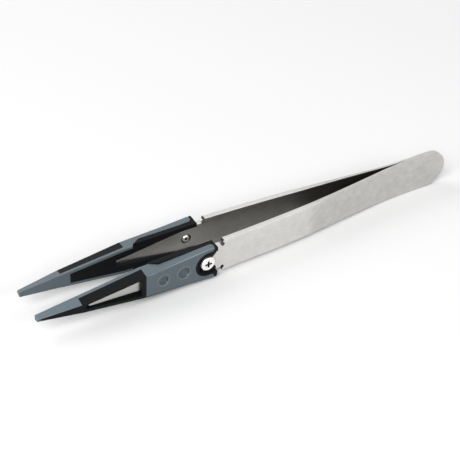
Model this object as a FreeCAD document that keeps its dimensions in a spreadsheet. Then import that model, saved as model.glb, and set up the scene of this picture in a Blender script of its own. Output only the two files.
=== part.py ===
"""Precision tweezers with two spring-steel blades welded at the tail and exchangeable plastic tips.

Each tip is a hard black core with a grey shell moulded on. It slides onto the blade's tongue and is held
by one small cross-head screw. The tweezers lie on their long edges: X runs along the length with the tips
at -X, Y is the direction in which they open and close, and Z is the width of the blades. The origin is under
the middle, on the surface. The left arm, at -Y, is modelled and the right arm is its mirror image. Sizes are
millimetres and degrees.
"""
import FreeCAD
import Part
import math
import os
import Sketcher
from FreeCAD import Placement, Rotation, Vector

SIZES = {
    # blade, seen from above: weld, bend away from the weld, long shallow bow, straight tongue
    "weld_length": 12.5,
    "root_bend_length": 11.5,
    "blade_length": 77.2,
    "tongue_length": 39.2,
    "leaf_angle": 6.45,
    "tongue_angle": 1.6,
    "tail_thickness": 0.6,
    "blade_thickness": 1.45,
    "grind_length": 26.0,
    # blade, seen from the side
    "tail_width": 11.84,
    "tail_straight": 2.1,
    "width_taper": 39.0,
    "blade_width": 9.92,
    "neck_width": 7.6,
    "neck_straight": 7.3,
    "neck_corner": 0.6,
    "tongue_taper": 16.5,
    "tongue_width": 3.0,
    "tongue_end_width": 0.8,
    # tip, lengths from its rear end to its point
    "tip_setback": 2.3,
    "handle_length": 21.2,
    "window_length": 17.8,
    "point_length": 11.5,
    # tip, how far its faces stand in from and out from the inner face of the tongue
    "rear_inner": 0.51,
    "waist_inner": 0.99,
    "front_inner": 1.1,
    "point_inner": 1.17,
    "rear_outer": 2.69,
    "waist_outer": 2.65,
    "front_outer": 1.9,
    "point_outer": 0.34,
    # tip, heights of its inner and outer face
    "rear_inner_height": 9.7,
    "waist_inner_height": 8.24,
    "front_inner_height": 4.16,
    "point_inner_height": 1.56,
    "rear_outer_height": 10.4,
    "waist_outer_height": 7.06,
    "front_outer_height": 2.66,
    "point_outer_height": 0.64,
    # how the two plastics share the tip
    "shell_skin": 0.75,
    "shell_top_skin": 0.85,
    "rim_length": 1.0,
    "rear_corner": 0.8,
    "lobe_round": 0.9,
    "rail_height": 9.6,
    "rail_width": 1.45,
    "rail_gap": 2.3,
    "rail_slant": 2.2,
    "strip_height": 0.85,
    "strip_width": 0.85,
    "panel_margin": 2.4,
    "spine_margin": 0.9,
    "spine_edge": 0.12,
    "spine_depth": 1.2,
    "spine_end_depth": 0.48,
    # seat of the tongue in the tip
    "tongue_clearance": 0.05,
    "lip_width": 0.3,
    "inner_window_length": 23.7,
    "slot_margin": 1.1,
    "slot_height": 5.2,
    "slot_end_height": 1.3,
    "slot_sink": 0.55,
    # screw and its seat
    "screw_setback": 2.85,
    "screw_diameter": 2.0,
    "screw_fit": 0.03,
    "head_diameter": 4.1,
    "head_height": 0.8,
    "head_edge": 0.35,
    "screw_end_edge": 0.25,
    "web_thickness": 0.5,
    "keyhole_clearance": 0.12,
    "funnel_length": 1.4,
    "funnel_height": 4.8,
    "pocket_diameter": 6.6,
    "collar_thickness": 0.5,
    "recess_arm": 2.1,
    "recess_width": 0.42,
    "recess_depth": 0.5,
    "sink_diameter": 2.9,
    # round dimples in the shell
    "rear_dimple_setback": 10.1,
    "rear_dimple_diameter": 3.05,
    "front_dimple_setback": 16.1,
    "front_dimple_diameter": 2.6,
    "dimple_depth": 0.3,
    # how far a cutting solid reaches past what it cuts
    "reach": 3.0,
}


def blade_places(given):
    """Works out the outlines of a blade, from the tail end and outwards from the middle plane."""
    leaf = math.radians(given["leaf_angle"])
    tongue = math.radians(given["tongue_angle"])
    thick = given["blade_thickness"]
    thin = given["tail_thickness"]
    root_end = given["weld_length"] + given["root_bend_length"]
    root_radius = given["root_bend_length"] / math.sin(leaf)
    root_end_y = root_radius * (1 - math.cos(leaf))
    bow_radius = (given["blade_length"] - root_end) / (math.sin(leaf) - math.sin(tongue))
    shoulder_y = root_end_y + bow_radius * (math.cos(tongue) - math.cos(leaf))
    grind = math.asin(math.sin(leaf) - given["grind_length"] / bow_radius)
    grind_y = root_end_y + bow_radius * (math.cos(grind) - math.cos(leaf))
    end_x = given["blade_length"] + given["tongue_length"] * math.cos(tongue)
    end_y = shoulder_y + given["tongue_length"] * math.sin(tongue)
    half_tail = given["tail_width"] / 2
    half_neck = given["neck_width"] / 2
    half_end = given["tongue_end_width"] / 2
    neck_end = given["blade_length"] + given["neck_straight"]
    return {
        "root_end": root_end,
        "root_end_y": root_end_y,
        "root_radius": root_radius,
        "root_outer_radius": root_radius - thin,
        "root_outer_x": root_end - thin * math.sin(leaf),
        "root_outer_y": root_end_y + thin * math.cos(leaf),
        "bow_radius": bow_radius,
        "bow_outer_radius": bow_radius + thick,
        "grind_outer_x": root_end + given["grind_length"] - thick * math.sin(grind),
        "grind_outer_y": grind_y + thick * math.cos(grind),
        "shoulder_y": shoulder_y,
        "shoulder_outer_x": given["blade_length"] - thick * math.sin(tongue),
        "shoulder_outer_y": shoulder_y + thick * math.cos(tongue),
        "end_x": end_x,
        "end_y": end_y,
        "end_outer_x": end_x - thick * math.sin(tongue),
        "end_outer_y": end_y + thick * math.cos(tongue),
        "half_tail": half_tail,
        "half_blade": given["blade_width"] / 2,
        "half_neck": half_neck,
        "half_tongue": given["tongue_width"] / 2,
        "half_end": half_end,
        "taper_start": half_tail + given["tail_straight"],
        "taper_end": half_tail + given["tail_straight"] + given["width_taper"],
        "neck_corner_x": given["blade_length"] + given["neck_corner"],
        "neck_corner_z": half_neck + given["neck_corner"],
        "neck_end": neck_end,
        "tongue_step": neck_end + given["tongue_taper"],
        "round_start": end_x - half_end,
        "trim_front": end_x + given["reach"],
        "trim_tail": given["reach"],
        "trim_half": half_tail + given["reach"],
        "blank_width": given["tail_width"] + given["reach"],
        "screw_blade_x": given["blade_length"] + screw_place(given) * math.cos(tongue),
        "screw_blade_y": shoulder_y + screw_place(given) * math.sin(tongue),
        "hole_radius": given["screw_diameter"] / 2 + given["screw_fit"],
        "sink_radius": given["sink_diameter"] / 2,
        "sink_floor": (given["sink_diameter"] - given["screw_diameter"]) / 2 - given["screw_fit"],
        "hole_start": given["reach"],
        "hole_end": thick + given["reach"],
    }


def screw_place(given):
    """Gives the distance of the screw's axis from the shoulder of the blade, along the tongue."""
    return given["tip_setback"] + given["screw_setback"]


def tip_places(given):
    """Works out the places of a tip: X from the shoulder to the point, Y outwards from the tongue's face."""
    far = given["reach"]
    rear = given["tip_setback"]
    waist = rear + given["handle_length"]
    front = waist + given["window_length"]
    point = front + given["point_length"]
    out = {"tip_rear": rear, "tip_waist": waist, "tip_front": front, "tip_point": point}
    for station in ("rear", "waist", "front", "point"):
        out[station + "_inner_half"] = given[station + "_inner_height"] / 2
        out[station + "_outer_half"] = given[station + "_outer_height"] / 2
    for station in ("rear", "waist"):
        for side in ("inner", "outer"):
            whole = out["%s_%s_half" % (station, side)]
            out["under_%s_%s_half" % (station, side)] = whole - given["shell_top_skin"]
        out["under_%s_outer" % station] = given[station + "_outer"] - given["shell_skin"]
    out["rail_rear_outer"] = given["rail_width"] - given["rear_inner"]
    out["deep"] = given["waist_inner"] + far
    out["region_depth"] = given["waist_inner"] + given["rear_outer"] + 2 * far
    out["tall"] = out["rear_outer_half"] + far
    out["tall_height"] = 2 * out["tall"]
    out["region_rear"] = rear - far
    out["rim_end"] = rear + given["rim_length"]
    out["corner_x"] = rear + given["rear_corner"]
    out["corner_z"] = out["rear_outer_half"] - given["rear_corner"]
    lobe = given["rim_length"] + given["lobe_round"]
    rail_fall = given["waist_inner"] - given["rear_inner"]
    rail_outer = out["rail_rear_outer"] - rail_fall * lobe / given["handle_length"]
    out["lobe_x"] = rear + lobe
    out["lobe_y"] = rail_outer
    out["lobe_top"] = rail_outer + given["lobe_round"]
    out["half_collar"] = given["pocket_diameter"] / 2 + given["collar_thickness"]
    out["lobe_foot"] = out["half_collar"] + given["lobe_round"]
    rail_end = waist - given["rail_gap"]
    rail_turn = rail_end - given["rail_slant"]
    out["rail_end"] = rail_end
    out["rail_turn"] = rail_turn
    out["rail_end_inner"] = given["rear_inner"] + rail_fall * (rail_end - rear) / given["handle_length"]
    out["rail_turn_outer"] = out["rail_rear_outer"] - rail_fall * (rail_turn - rear) / given["handle_length"]
    panel = front - given["panel_margin"]
    fall = given["waist_inner_height"] - given["front_inner_height"]
    panel_height = given["front_inner_height"] + fall * given["panel_margin"] / given["window_length"]
    out["panel_front"] = panel
    out["strip_waist_half"] = out["waist_inner_half"] - given["strip_height"]
    out["strip_panel_half"] = panel_height / 2 - given["strip_height"]
    out["strip_waist_inner"] = given["waist_inner"] - given["strip_width"]
    out["strip_front_inner"] = given["front_inner"] - given["strip_width"]
    share = given["spine_margin"] / given["point_length"]
    end_outer = given["point_outer"] + share * (given["front_outer"] - given["point_outer"])
    end_rise = given["front_outer_height"] - given["point_outer_height"]
    end_height = given["point_outer_height"] + share * end_rise
    out["spine_end"] = point - given["spine_margin"]
    out["spine_front_half"] = out["front_outer_half"] - given["spine_edge"]
    out["spine_end_half"] = end_height / 2 - given["spine_edge"]
    out["spine_front_floor"] = given["front_outer"] - given["spine_depth"]
    out["spine_end_floor"] = end_outer - given["spine_end_depth"]
    out["spine_cover"] = given["front_outer"] + far
    return out


def seat_places(given):
    """Works out the cuts in a tip for the tongue and the screw, and the screw itself, as a tip's places."""
    far = given["reach"]
    gap = given["tongue_clearance"]
    thick = given["blade_thickness"]
    rear = given["tip_setback"]
    waist = rear + given["handle_length"]
    front = waist + given["window_length"]
    half_neck = given["neck_width"] / 2
    half_tongue = given["tongue_width"] / 2
    half_end = given["tongue_end_width"] / 2
    step = given["neck_straight"] + given["tongue_taper"]
    window_end = rear + given["inner_window_length"]
    share = (window_end - step) / (given["tongue_length"] - half_end - step)
    window_end_half = half_tongue + share * (half_end - half_tongue) - given["lip_width"]
    web = thick + gap + given["web_thickness"]
    shank = given["screw_diameter"] / 2
    head = given["head_diameter"] / 2
    waist_outer = given["waist_outer"]
    rear_dimple = given["rear_dimple_setback"] / given["handle_length"]
    front_dimple = given["front_dimple_setback"] / given["handle_length"]
    fall = given["rear_outer"] - waist_outer
    return {
        "seat_open": far,
        "seat_depth": thick + 2 * gap,
        "seat_half_neck": half_neck + gap,
        "seat_half_tongue": half_tongue + gap,
        "seat_half_end": half_end + gap,
        "seat_step": step,
        "seat_round": given["tongue_length"] - half_end,
        "window_half_neck": half_neck - given["lip_width"],
        "window_half_tongue": half_tongue - given["lip_width"],
        "window_end": window_end,
        "window_end_half": window_end_half,
        "slot_rear": waist + given["slot_margin"],
        "slot_front": front - given["slot_margin"],
        "half_slot": given["slot_height"] / 2,
        "half_slot_end": given["slot_end_height"] / 2,
        "slot_floor": thick - given["slot_sink"],
        "outer_cover": given["rear_outer"] + far,
        "screw_place": screw_place(given),
        "web_outer": web,
        "half_keyhole": shank + given["keyhole_clearance"],
        "funnel_end": rear + given["funnel_length"],
        "half_funnel": given["funnel_height"] / 2,
        "half_pocket": given["pocket_diameter"] / 2,
        "rear_dimple_x": rear + given["rear_dimple_setback"],
        "rear_dimple_radius": given["rear_dimple_diameter"] / 2,
        "rear_dimple_floor": given["rear_outer"] - fall * rear_dimple - given["dimple_depth"],
        "front_dimple_x": rear + given["front_dimple_setback"],
        "front_dimple_radius": given["front_dimple_diameter"] / 2,
        "front_dimple_floor": given["rear_outer"] - fall * front_dimple - given["dimple_depth"],
        "shank_radius": shank,
        "head_radius": head,
        "shank_flat": shank - given["screw_end_edge"],
        "head_flat": head - given["head_edge"],
        "head_rim": web + given["head_height"] - given["head_edge"],
        "head_top": web + given["head_height"],
        "recess_half_arm": given["recess_arm"] / 2,
        "recess_half_width": given["recess_width"] / 2,
    }


def arm_places(given, shoulder_y):
    """Works out where the arms stand: the middle of the length at X = 0 and the lower edges at Z = 0."""
    tongue = math.radians(given["tongue_angle"])
    tip = given["tip_setback"] + given["handle_length"] + given["window_length"] + given["point_length"]
    overall = given["blade_length"] + tip * math.cos(tongue) + given["point_inner"] * math.sin(tongue)
    return {
        "tail_x": overall / 2,
        "shoulder_x": overall / 2 - given["blade_length"],
        "shoulder_left": -shoulder_y,
        "screw_x": overall / 2 - given["blade_length"] - screw_place(given) * math.cos(tongue),
        "screw_left": -shoulder_y - screw_place(given) * math.sin(tongue),
        "middle_height": given["tail_width"] / 2,
        "half_turn": 180.0,
        "tongue_turn": 180.0 + given["tongue_angle"],
    }


def all_sizes():
    """Joins the given sizes and the places worked out from them."""
    places = dict(SIZES)
    places.update(blade_places(SIZES))
    places.update(tip_places(SIZES))
    places.update(seat_places(SIZES))
    places.update(arm_places(SIZES, places["shoulder_y"]))
    return places


def number(term):
    """Reads a term, the name of a size with or without a minus sign, as a number. An empty term is zero."""
    if not term:
        return 0.0
    return -PLACES[term[1:]] if term.startswith("-") else PLACES[term]


def cell(term):
    """Writes a term as an expression on the sheet."""
    return "-Sizes." + term[1:] if term.startswith("-") else "Sizes." + term


def opposite(term):
    """Turns the sign of a term."""
    return term[1:] if term.startswith("-") else "-" + term


def make_sheet(doc):
    """Fills the sheet with every size, each under its own name."""
    sheet = doc.addObject("Spreadsheet::Sheet", "Sizes")
    for row, (name, size) in enumerate(PLACES.items(), 1):
        sheet.set("A%d" % row, name)
        sheet.set("B%d" % row, repr(float(size)))
        sheet.setAlias("B%d" % row, name)
    doc.recompute()
    return sheet


def plane_sketch(body, name, role, offset=None):
    """Puts a sketch on one of the body's own planes. offset says how far it is moved along its axes."""
    plane = next(item for item in body.Origin.OriginFeatures if item.Role == role)
    sketch = body.newObject("Sketcher::SketchObject", name)
    sketch.AttachmentSupport = [(plane, "")]
    sketch.MapMode = "FlatFace"
    for axis, term in (offset or {}).items():
        sketch.setExpression(".AttachmentOffset.Base." + axis, cell(term))
    return sketch


def pin_point(sketch, edge, end, corner):
    """Ties one end of an edge to its place: a bound distance from each axis, or the axis itself."""
    for kind, term, axis in (("DistanceX", corner[0], -2), ("DistanceY", corner[1], -1)):
        if not term:
            sketch.addConstraint(Sketcher.Constraint("PointOnObject", edge, end, axis))
            continue
        index = sketch.addConstraint(Sketcher.Constraint(kind, edge, end, number(term)))
        sketch.setExpression("Constraints[%d]" % index, cell(term))


def bend_centre(start, end, radius, turn):
    """Finds the centre of the shorter arc between two points. turn is 1 for a left-hand arc, else -1."""
    chord = end - start
    middle = (start + end) * 0.5
    rise = math.sqrt(max(radius ** 2 - (chord.Length / 2) ** 2, 0.0))
    normal = Vector(-chord.y, chord.x, 0).normalize()
    return middle + normal * rise * turn


def outline(sketch, corners, bends=None):
    """Draws one closed outline. bends says which edges are arcs: edge number to (kind, term, turn).

    Kind "radius" ties the arc's radius to a size. Kind "middle" makes a half circle and ties its centre's X.
    """
    bends = bends or {}
    points = [Vector(number(x), number(y), 0) for x, y in corners]
    first = sketch.GeometryCount
    ends = []
    for index, start in enumerate(points):
        end = points[(index + 1) % len(points)]
        if index not in bends:
            sketch.addGeometry(Part.LineSegment(start, end), False)
            ends.append((1, 2))
            continue
        kind, term, turn = bends[index]
        radius = number(term) if kind == "radius" else (end - start).Length / 2
        centre = bend_centre(start, end, radius, turn)
        head, foot = (start, end) if turn > 0 else (end, start)
        opening = math.atan2(head.y - centre.y, head.x - centre.x)
        closing = math.atan2(foot.y - centre.y, foot.x - centre.x)
        circle = Part.Circle(centre, Vector(0, 0, 1), radius)
        sketch.addGeometry(Part.ArcOfCircle(circle, opening, closing), False)
        ends.append((1, 2) if turn > 0 else (2, 1))
    for index, corner in enumerate(corners):
        follower = (index + 1) % len(corners)
        joint = (first + index, ends[index][1], first + follower, ends[follower][0])
        sketch.addConstraint(Sketcher.Constraint("Coincident", *joint))
        pin_point(sketch, first + index, ends[index][0], corner)
    for index, (kind, term, turn) in bends.items():
        edge = first + index
        if kind == "radius":
            rule = Sketcher.Constraint("Radius", edge, number(term))
        else:
            rule = Sketcher.Constraint("DistanceX", edge, 3, number(term))
        sketch.setExpression("Constraints[%d]" % sketch.addConstraint(rule), cell(term))


def ring(sketch, corner, radius):
    """Draws one full circle round a place."""
    centre = Vector(number(corner[0]), number(corner[1]), 0)
    edge = sketch.addGeometry(Part.Circle(centre, Vector(0, 0, 1), number(radius)), False)
    pin_point(sketch, edge, 3, corner)
    rule = Sketcher.Constraint("Radius", edge, number(radius))
    sketch.setExpression("Constraints[%d]" % sketch.addConstraint(rule), cell(radius))


def upright(rear, front, rear_half, front_half):
    """Gives the corners of an outline that is symmetrical about the middle height, from rear to front."""
    return [(rear, "-" + rear_half), (front, "-" + front_half), (front, front_half), (rear, rear_half)]


def add_pad(body, sketch, length, both=False, outwards=False):
    """Pads a sketch by a size: to both sides, or to one side, which is outwards for an upright sketch."""
    pad = body.newObject("PartDesign::Pad", sketch.Name + "_pad")
    pad.Profile = sketch
    pad.Midplane = both
    pad.Reversed = outwards
    pad.setExpression("Length", cell(length))
    body.Document.recompute()
    return pad


def add_cut(body, sketch, length, before):
    """Cuts a sketch right through to both sides and makes sure that it took something away."""
    pocket = body.newObject("PartDesign::Pocket", sketch.Name + "_cut")
    pocket.Profile = sketch
    pocket.Midplane = True
    pocket.setExpression("Length", cell(length))
    body.Document.recompute()
    expect_smaller(pocket, before)
    return pocket


def expect_smaller(after, before):
    """Stops where a cut has left the solid as it was."""
    if not after.Shape.Volume < before.Shape.Volume - SMALLEST_CUT:
        raise RuntimeError("%s took nothing away" % after.Name)


def add_loft(body, sketches):
    """Joins sketches, one behind the other, by straight faces."""
    loft = body.newObject("PartDesign::AdditiveLoft", body.Name + "_loft")
    loft.Profile = sketches[0]
    loft.Sections = sketches[1:]
    loft.Ruled = True
    body.Document.recompute()
    return loft


def slab(doc, name, floor, depth, corners, bends=None):
    """Makes a body with an upright outline that starts at the place floor and runs outwards by depth."""
    body = doc.addObject("PartDesign::Body", name)
    sketch = plane_sketch(body, name + "_side", "XZ_Plane", {"z": opposite(floor)})
    outline(sketch, corners, bends)
    add_pad(body, sketch, depth, outwards=True)
    return body


def join(doc, name, shapes):
    """Makes one solid of several."""
    fusion = doc.addObject("Part::MultiFuse", name)
    fusion.Shapes = shapes
    doc.recompute()
    return fusion


def subtract(doc, name, base, tool):
    """Takes one solid away from another and makes sure that something was taken away."""
    cut = doc.addObject("Part::Cut", name)
    cut.Base = base
    cut.Tool = tool
    doc.recompute()
    expect_smaller(cut, base)
    return cut


def make_blade(doc):
    """Makes the left blade from above, trims it to its outline from the side and sinks the screw hole."""
    body = doc.addObject("PartDesign::Body", "left_blade")
    top = plane_sketch(body, "blade_from_above", "XY_Plane")
    outline(top, [
        ("", ""), ("weld_length", ""), ("root_end", "root_end_y"), ("blade_length", "shoulder_y"),
        ("end_x", "end_y"), ("end_outer_x", "end_outer_y"), ("shoulder_outer_x", "shoulder_outer_y"),
        ("grind_outer_x", "grind_outer_y"), ("root_outer_x", "root_outer_y"),
        ("weld_length", "tail_thickness"), ("", "tail_thickness"),
    ], {
        1: ("radius", "root_radius", 1),
        2: ("radius", "bow_radius", -1),
        6: ("radius", "bow_outer_radius", 1),
        8: ("radius", "root_outer_radius", -1),
    })
    blank = add_pad(body, top, "blank_width", both=True)

    side = plane_sketch(body, "blade_from_the_side", "XZ_Plane")
    outline(side, [
        ("half_tail", "-half_tail"), ("taper_start", "-half_tail"), ("taper_end", "-half_blade"),
        ("blade_length", "-half_blade"), ("blade_length", "-neck_corner_z"), ("neck_corner_x", "-half_neck"),
        ("neck_end", "-half_neck"), ("tongue_step", "-half_tongue"), ("round_start", "-half_end"),
        ("round_start", "half_end"), ("tongue_step", "half_tongue"), ("neck_end", "half_neck"),
        ("neck_corner_x", "half_neck"), ("blade_length", "neck_corner_z"), ("blade_length", "half_blade"),
        ("taper_end", "half_blade"), ("taper_start", "half_tail"), ("half_tail", "half_tail"),
    ], {
        4: ("radius", "neck_corner", -1),
        8: ("middle", "round_start", 1),
        12: ("radius", "neck_corner", -1),
        17: ("middle", "half_tail", 1),
    })
    outline(side, upright("-trim_tail", "trim_front", "trim_half", "trim_half"))
    trimmed = add_cut(body, side, "trim_front", blank)

    hole = plane_sketch(body, "screw_hole", "XY_Plane", {"x": "screw_blade_x", "y": "screw_blade_y"})
    hole.AttachmentOffset = Placement(Vector(), Rotation(Vector(0, 0, 1), PLACES["tongue_angle"]))
    hole.setExpression(".AttachmentOffset.Rotation.Angle", cell("tongue_angle"))
    outline(hole, [
        ("", "-hole_start"), ("sink_radius", "-hole_start"), ("sink_radius", ""),
        ("hole_radius", "sink_floor"), ("hole_radius", "hole_end"), ("", "hole_end"),
    ])
    groove = body.newObject("PartDesign::Groove", "screw_hole_cut")
    groove.Profile = hole
    groove.ReferenceAxis = (hole, ["V_Axis"])
    groove.Angle = FULL_TURN
    doc.recompute()
    expect_smaller(groove, trimmed)
    body.Tip = groove
    return body


def make_tip_form(doc):
    """Makes the whole outer form of a tip, core and shell in one, through its four sections."""
    body = doc.addObject("PartDesign::Body", "tip_form")
    sections = []
    for station in ("rear", "waist", "front", "point"):
        sketch = plane_sketch(body, "section_" + station, "YZ_Plane", {"z": "tip_" + station})
        inner, outer = station + "_inner", station + "_outer"
        outline(sketch, [
            ("-" + inner, "-" + inner + "_half"), (outer, "-" + outer + "_half"),
            (outer, outer + "_half"), ("-" + inner, inner + "_half"),
        ])
        sections.append(sketch)
    add_loft(body, sections)
    return body


def make_under_shell(doc):
    """Makes the part of the core that lies under the shell's skin, open towards the other arm."""
    body = doc.addObject("PartDesign::Body", "under_shell")
    sections = []
    for station in ("rear", "waist"):
        sketch = plane_sketch(body, "under_" + station, "YZ_Plane", {"z": "tip_" + station})
        inner, inner_half = "-" + station + "_inner", "under_%s_inner_half" % station
        outer, outer_half = "under_%s_outer" % station, "under_%s_outer_half" % station
        outline(sketch, [
            ("-deep", "-" + inner_half), (inner, "-" + inner_half), (outer, "-" + outer_half),
            (outer, outer_half), (inner, inner_half), ("-deep", inner_half),
        ])
        sections.append(sketch)
    add_loft(body, sections)
    return body


def make_rails(doc, name, corners, bends, height):
    """Makes the two rails along the inner edges of the handle, joined in the middle, from their plan."""
    body = doc.addObject("PartDesign::Body", name)
    top = plane_sketch(body, name + "_from_above", "XY_Plane")
    outline(top, corners, bends)
    add_pad(body, top, height, both=True)
    return body


def make_window_block(doc):
    """Makes the all-black stretch round the window, less the shell's strips along its inner edges."""
    block = slab(doc, "window_block", "-deep", "region_depth",
                 upright("tip_waist", "tip_front", "tall", "tall"))
    body = doc.addObject("PartDesign::Body", "shell_strips")
    top = plane_sketch(body, "strips_from_above", "XY_Plane")
    outline(top, [
        ("tip_waist", "-deep"), ("tip_front", "-deep"), ("tip_front", "-strip_front_inner"),
        ("tip_waist", "-strip_waist_inner"),
    ])
    blank = add_pad(body, top, "tall_height", both=True)
    panel = plane_sketch(body, "inner_panel", "XZ_Plane")
    outline(panel, upright("tip_waist", "panel_front", "strip_waist_half", "strip_panel_half"))
    add_cut(body, panel, "tall_height", blank)
    return subtract(doc, "window_region", block, body)


def make_spine(doc):
    """Makes the core's spine, which shows on the outer face from the window to just short of the point."""
    body = doc.addObject("PartDesign::Body", "spine")
    sections = []
    for station, name in (("tip_front", "spine_front"), ("spine_end", "spine_end")):
        sketch = plane_sketch(body, name + "_section", "YZ_Plane", {"z": station})
        half = name + "_half"
        outline(sketch, [
            (name + "_floor", "-" + half), ("spine_cover", "-" + half), ("spine_cover", half),
            (name + "_floor", half),
        ])
        sections.append(sketch)
    add_loft(body, sections)
    return body


def make_rim_and_collar(doc):
    """Makes the black rim at the rear end with the collar round the screw pocket, in rounded corners."""
    return slab(doc, "rim_and_collar", "-deep", "region_depth", [
        ("region_rear", "-tall"), ("rim_end", "-tall"), ("rim_end", "-lobe_foot"), ("lobe_x", "-half_collar"),
        ("screw_place", "-half_collar"), ("screw_place", "half_collar"), ("lobe_x", "half_collar"),
        ("rim_end", "lobe_foot"), ("rim_end", "tall"), ("region_rear", "tall"),
    ], {
        2: ("radius", "lobe_round", -1),
        4: ("middle", "screw_place", 1),
        6: ("radius", "lobe_round", -1),
    })


def make_core_region(doc):
    """Joins every stretch of the tip's form that is core."""
    rim = make_rim_and_collar(doc)
    rails = make_rails(doc, "rail_region", [
        ("tip_rear", "-deep"), ("rail_end", "-deep"), ("rail_end", "-rail_end_inner"),
        ("rail_turn", "rail_turn_outer"), ("lobe_x", "lobe_y"), ("rim_end", "lobe_top"),
        ("tip_rear", "lobe_top"),
    ], {4: ("radius", "lobe_round", -1)}, "tall_height")
    stretches = [rim, make_under_shell(doc), rails, make_window_block(doc), make_spine(doc)]
    return join(doc, "core_region", stretches)


def make_seat_cuts(doc):
    """Makes the cuts for the tongue: its slot and the windows that show it inside and outside."""
    seat = slab(doc, "tongue_seat", "-tongue_clearance", "seat_depth", [
        ("-seat_open", "-seat_half_neck"), ("neck_straight", "-seat_half_neck"),
        ("seat_step", "-seat_half_tongue"), ("seat_round", "-seat_half_end"),
        ("seat_round", "seat_half_end"), ("seat_step", "seat_half_tongue"),
        ("neck_straight", "seat_half_neck"), ("-seat_open", "seat_half_neck"),
    ], {3: ("middle", "seat_round", 1)})
    inner = slab(doc, "inner_window", "-deep", "deep", [
        ("-seat_open", "-window_half_neck"), ("neck_straight", "-window_half_neck"),
        ("seat_step", "-window_half_tongue"), ("window_end", "-window_end_half"),
        ("window_end", "window_end_half"), ("seat_step", "window_half_tongue"),
        ("neck_straight", "window_half_neck"), ("-seat_open", "window_half_neck"),
    ])
    outer = slab(doc, "outer_window", "slot_floor", "outer_cover",
                 upright("slot_rear", "slot_front", "half_slot", "half_slot_end"))
    return join(doc, "tongue_cuts", [seat, inner, outer])


def make_screw_pocket(doc):
    """Makes the round-ended pocket for the screw head, open at the rear of the tip."""
    return slab(doc, "screw_pocket", "web_outer", "outer_cover",
                upright("region_rear", "screw_place", "half_pocket", "half_pocket"),
                {1: ("middle", "screw_place", 1)})


def make_keyhole(doc):
    """Makes the slot that slides under the screw head, with a funnel where it starts at the rear."""
    slot = slab(doc, "keyhole_slot", "tongue_clearance", "outer_cover",
                upright("region_rear", "screw_place", "half_keyhole", "half_keyhole"),
                {1: ("middle", "screw_place", 1)})
    funnel = slab(doc, "keyhole_funnel", "tongue_clearance", "outer_cover", [
        ("region_rear", "-half_funnel"), ("tip_rear", "-half_funnel"), ("funnel_end", "-half_keyhole"),
        ("funnel_end", "half_keyhole"), ("tip_rear", "half_funnel"), ("region_rear", "half_funnel"),
    ])
    return join(doc, "keyhole", [slot, funnel])


def make_rear_corners(doc):
    """Makes what is taken off the upper and lower corner of the tip's rear end to round them."""
    corners = []
    for name, sign, turn in (("upper_corner", "", -1), ("lower_corner", "-", 1)):
        corners.append(slab(doc, name, "-deep", "region_depth", [
            ("region_rear", sign + "corner_z"), ("tip_rear", sign + "corner_z"),
            ("corner_x", sign + "rear_outer_half"), ("corner_x", sign + "tall"),
            ("region_rear", sign + "tall"),
        ], {1: ("radius", "rear_corner", turn)}))
    return corners


def make_dimples(doc):
    """Makes the two round dimples in the middle of the shell's outer face."""
    dimples = []
    for name in ("rear_dimple", "front_dimple"):
        body = doc.addObject("PartDesign::Body", name)
        sketch = plane_sketch(body, name + "_side", "XZ_Plane", {"z": opposite(name + "_floor")})
        ring(sketch, (name + "_x", ""), name + "_radius")
        add_pad(body, sketch, "outer_cover", outwards=True)
        dimples.append(body)
    return dimples


def make_tip(doc):
    """Makes the core and the shell of the left tip, which together fill the tip's form."""
    form = make_tip_form(doc)
    region = make_core_region(doc)
    rails = make_rails(doc, "rails", [
        ("tip_rear", "-rear_inner"), ("rail_end", "-rail_end_inner"), ("rail_turn", "rail_turn_outer"),
        ("tip_rear", "rail_rear_outer"),
    ], {}, "rail_height")

    filled = doc.addObject("Part::Common", "core_form")
    filled.Base = form
    filled.Tool = region
    doc.recompute()
    core_blank = join(doc, "core_blank", [filled, rails])
    cuts = [make_seat_cuts(doc), make_keyhole(doc), make_screw_pocket(doc)] + make_rear_corners(doc)
    core_cuts = join(doc, "core_cuts", cuts)
    core = subtract(doc, "left_tip_core", core_blank, core_cuts)

    shell_blank = subtract(doc, "shell_blank", form, region)
    shell = subtract(doc, "left_tip_grip", shell_blank, join(doc, "shell_dimples", make_dimples(doc)))
    return core, shell


def make_screw(doc):
    """Turns the screw, with its end at the tongue's inner face, and cuts the cross into its head."""
    body = doc.addObject("PartDesign::Body", "left_screw")
    profile = plane_sketch(body, "screw_profile", "XY_Plane")
    outline(profile, [
        ("", ""), ("shank_flat", ""), ("shank_radius", "screw_end_edge"), ("shank_radius", "web_outer"),
        ("head_radius", "web_outer"), ("head_radius", "head_rim"), ("head_flat", "head_top"),
        ("", "head_top"),
    ], {5: ("radius", "head_edge", 1)})
    turned = body.newObject("PartDesign::Revolution", "screw_turned")
    turned.Profile = profile
    turned.ReferenceAxis = (profile, ["V_Axis"])
    turned.Angle = FULL_TURN
    doc.recompute()
    before = turned
    for name, arm, width in (("recess_level", "recess_half_arm", "recess_half_width"),
                             ("recess_upright", "recess_half_width", "recess_half_arm")):
        sketch = plane_sketch(body, name, "XZ_Plane", {"z": "-head_top"})
        outline(sketch, upright("-" + arm, arm, width, width))
        cut = body.newObject("PartDesign::Pocket", name + "_cut")
        cut.Profile = sketch
        cut.setExpression("Length", cell("recess_depth"))
        doc.recompute()
        if not cut.Shape.Volume < before.Shape.Volume - SMALLEST_CUT:
            cut.Reversed = True
            doc.recompute()
        expect_smaller(cut, before)
        before = cut
    body.Tip = before
    return body


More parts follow.
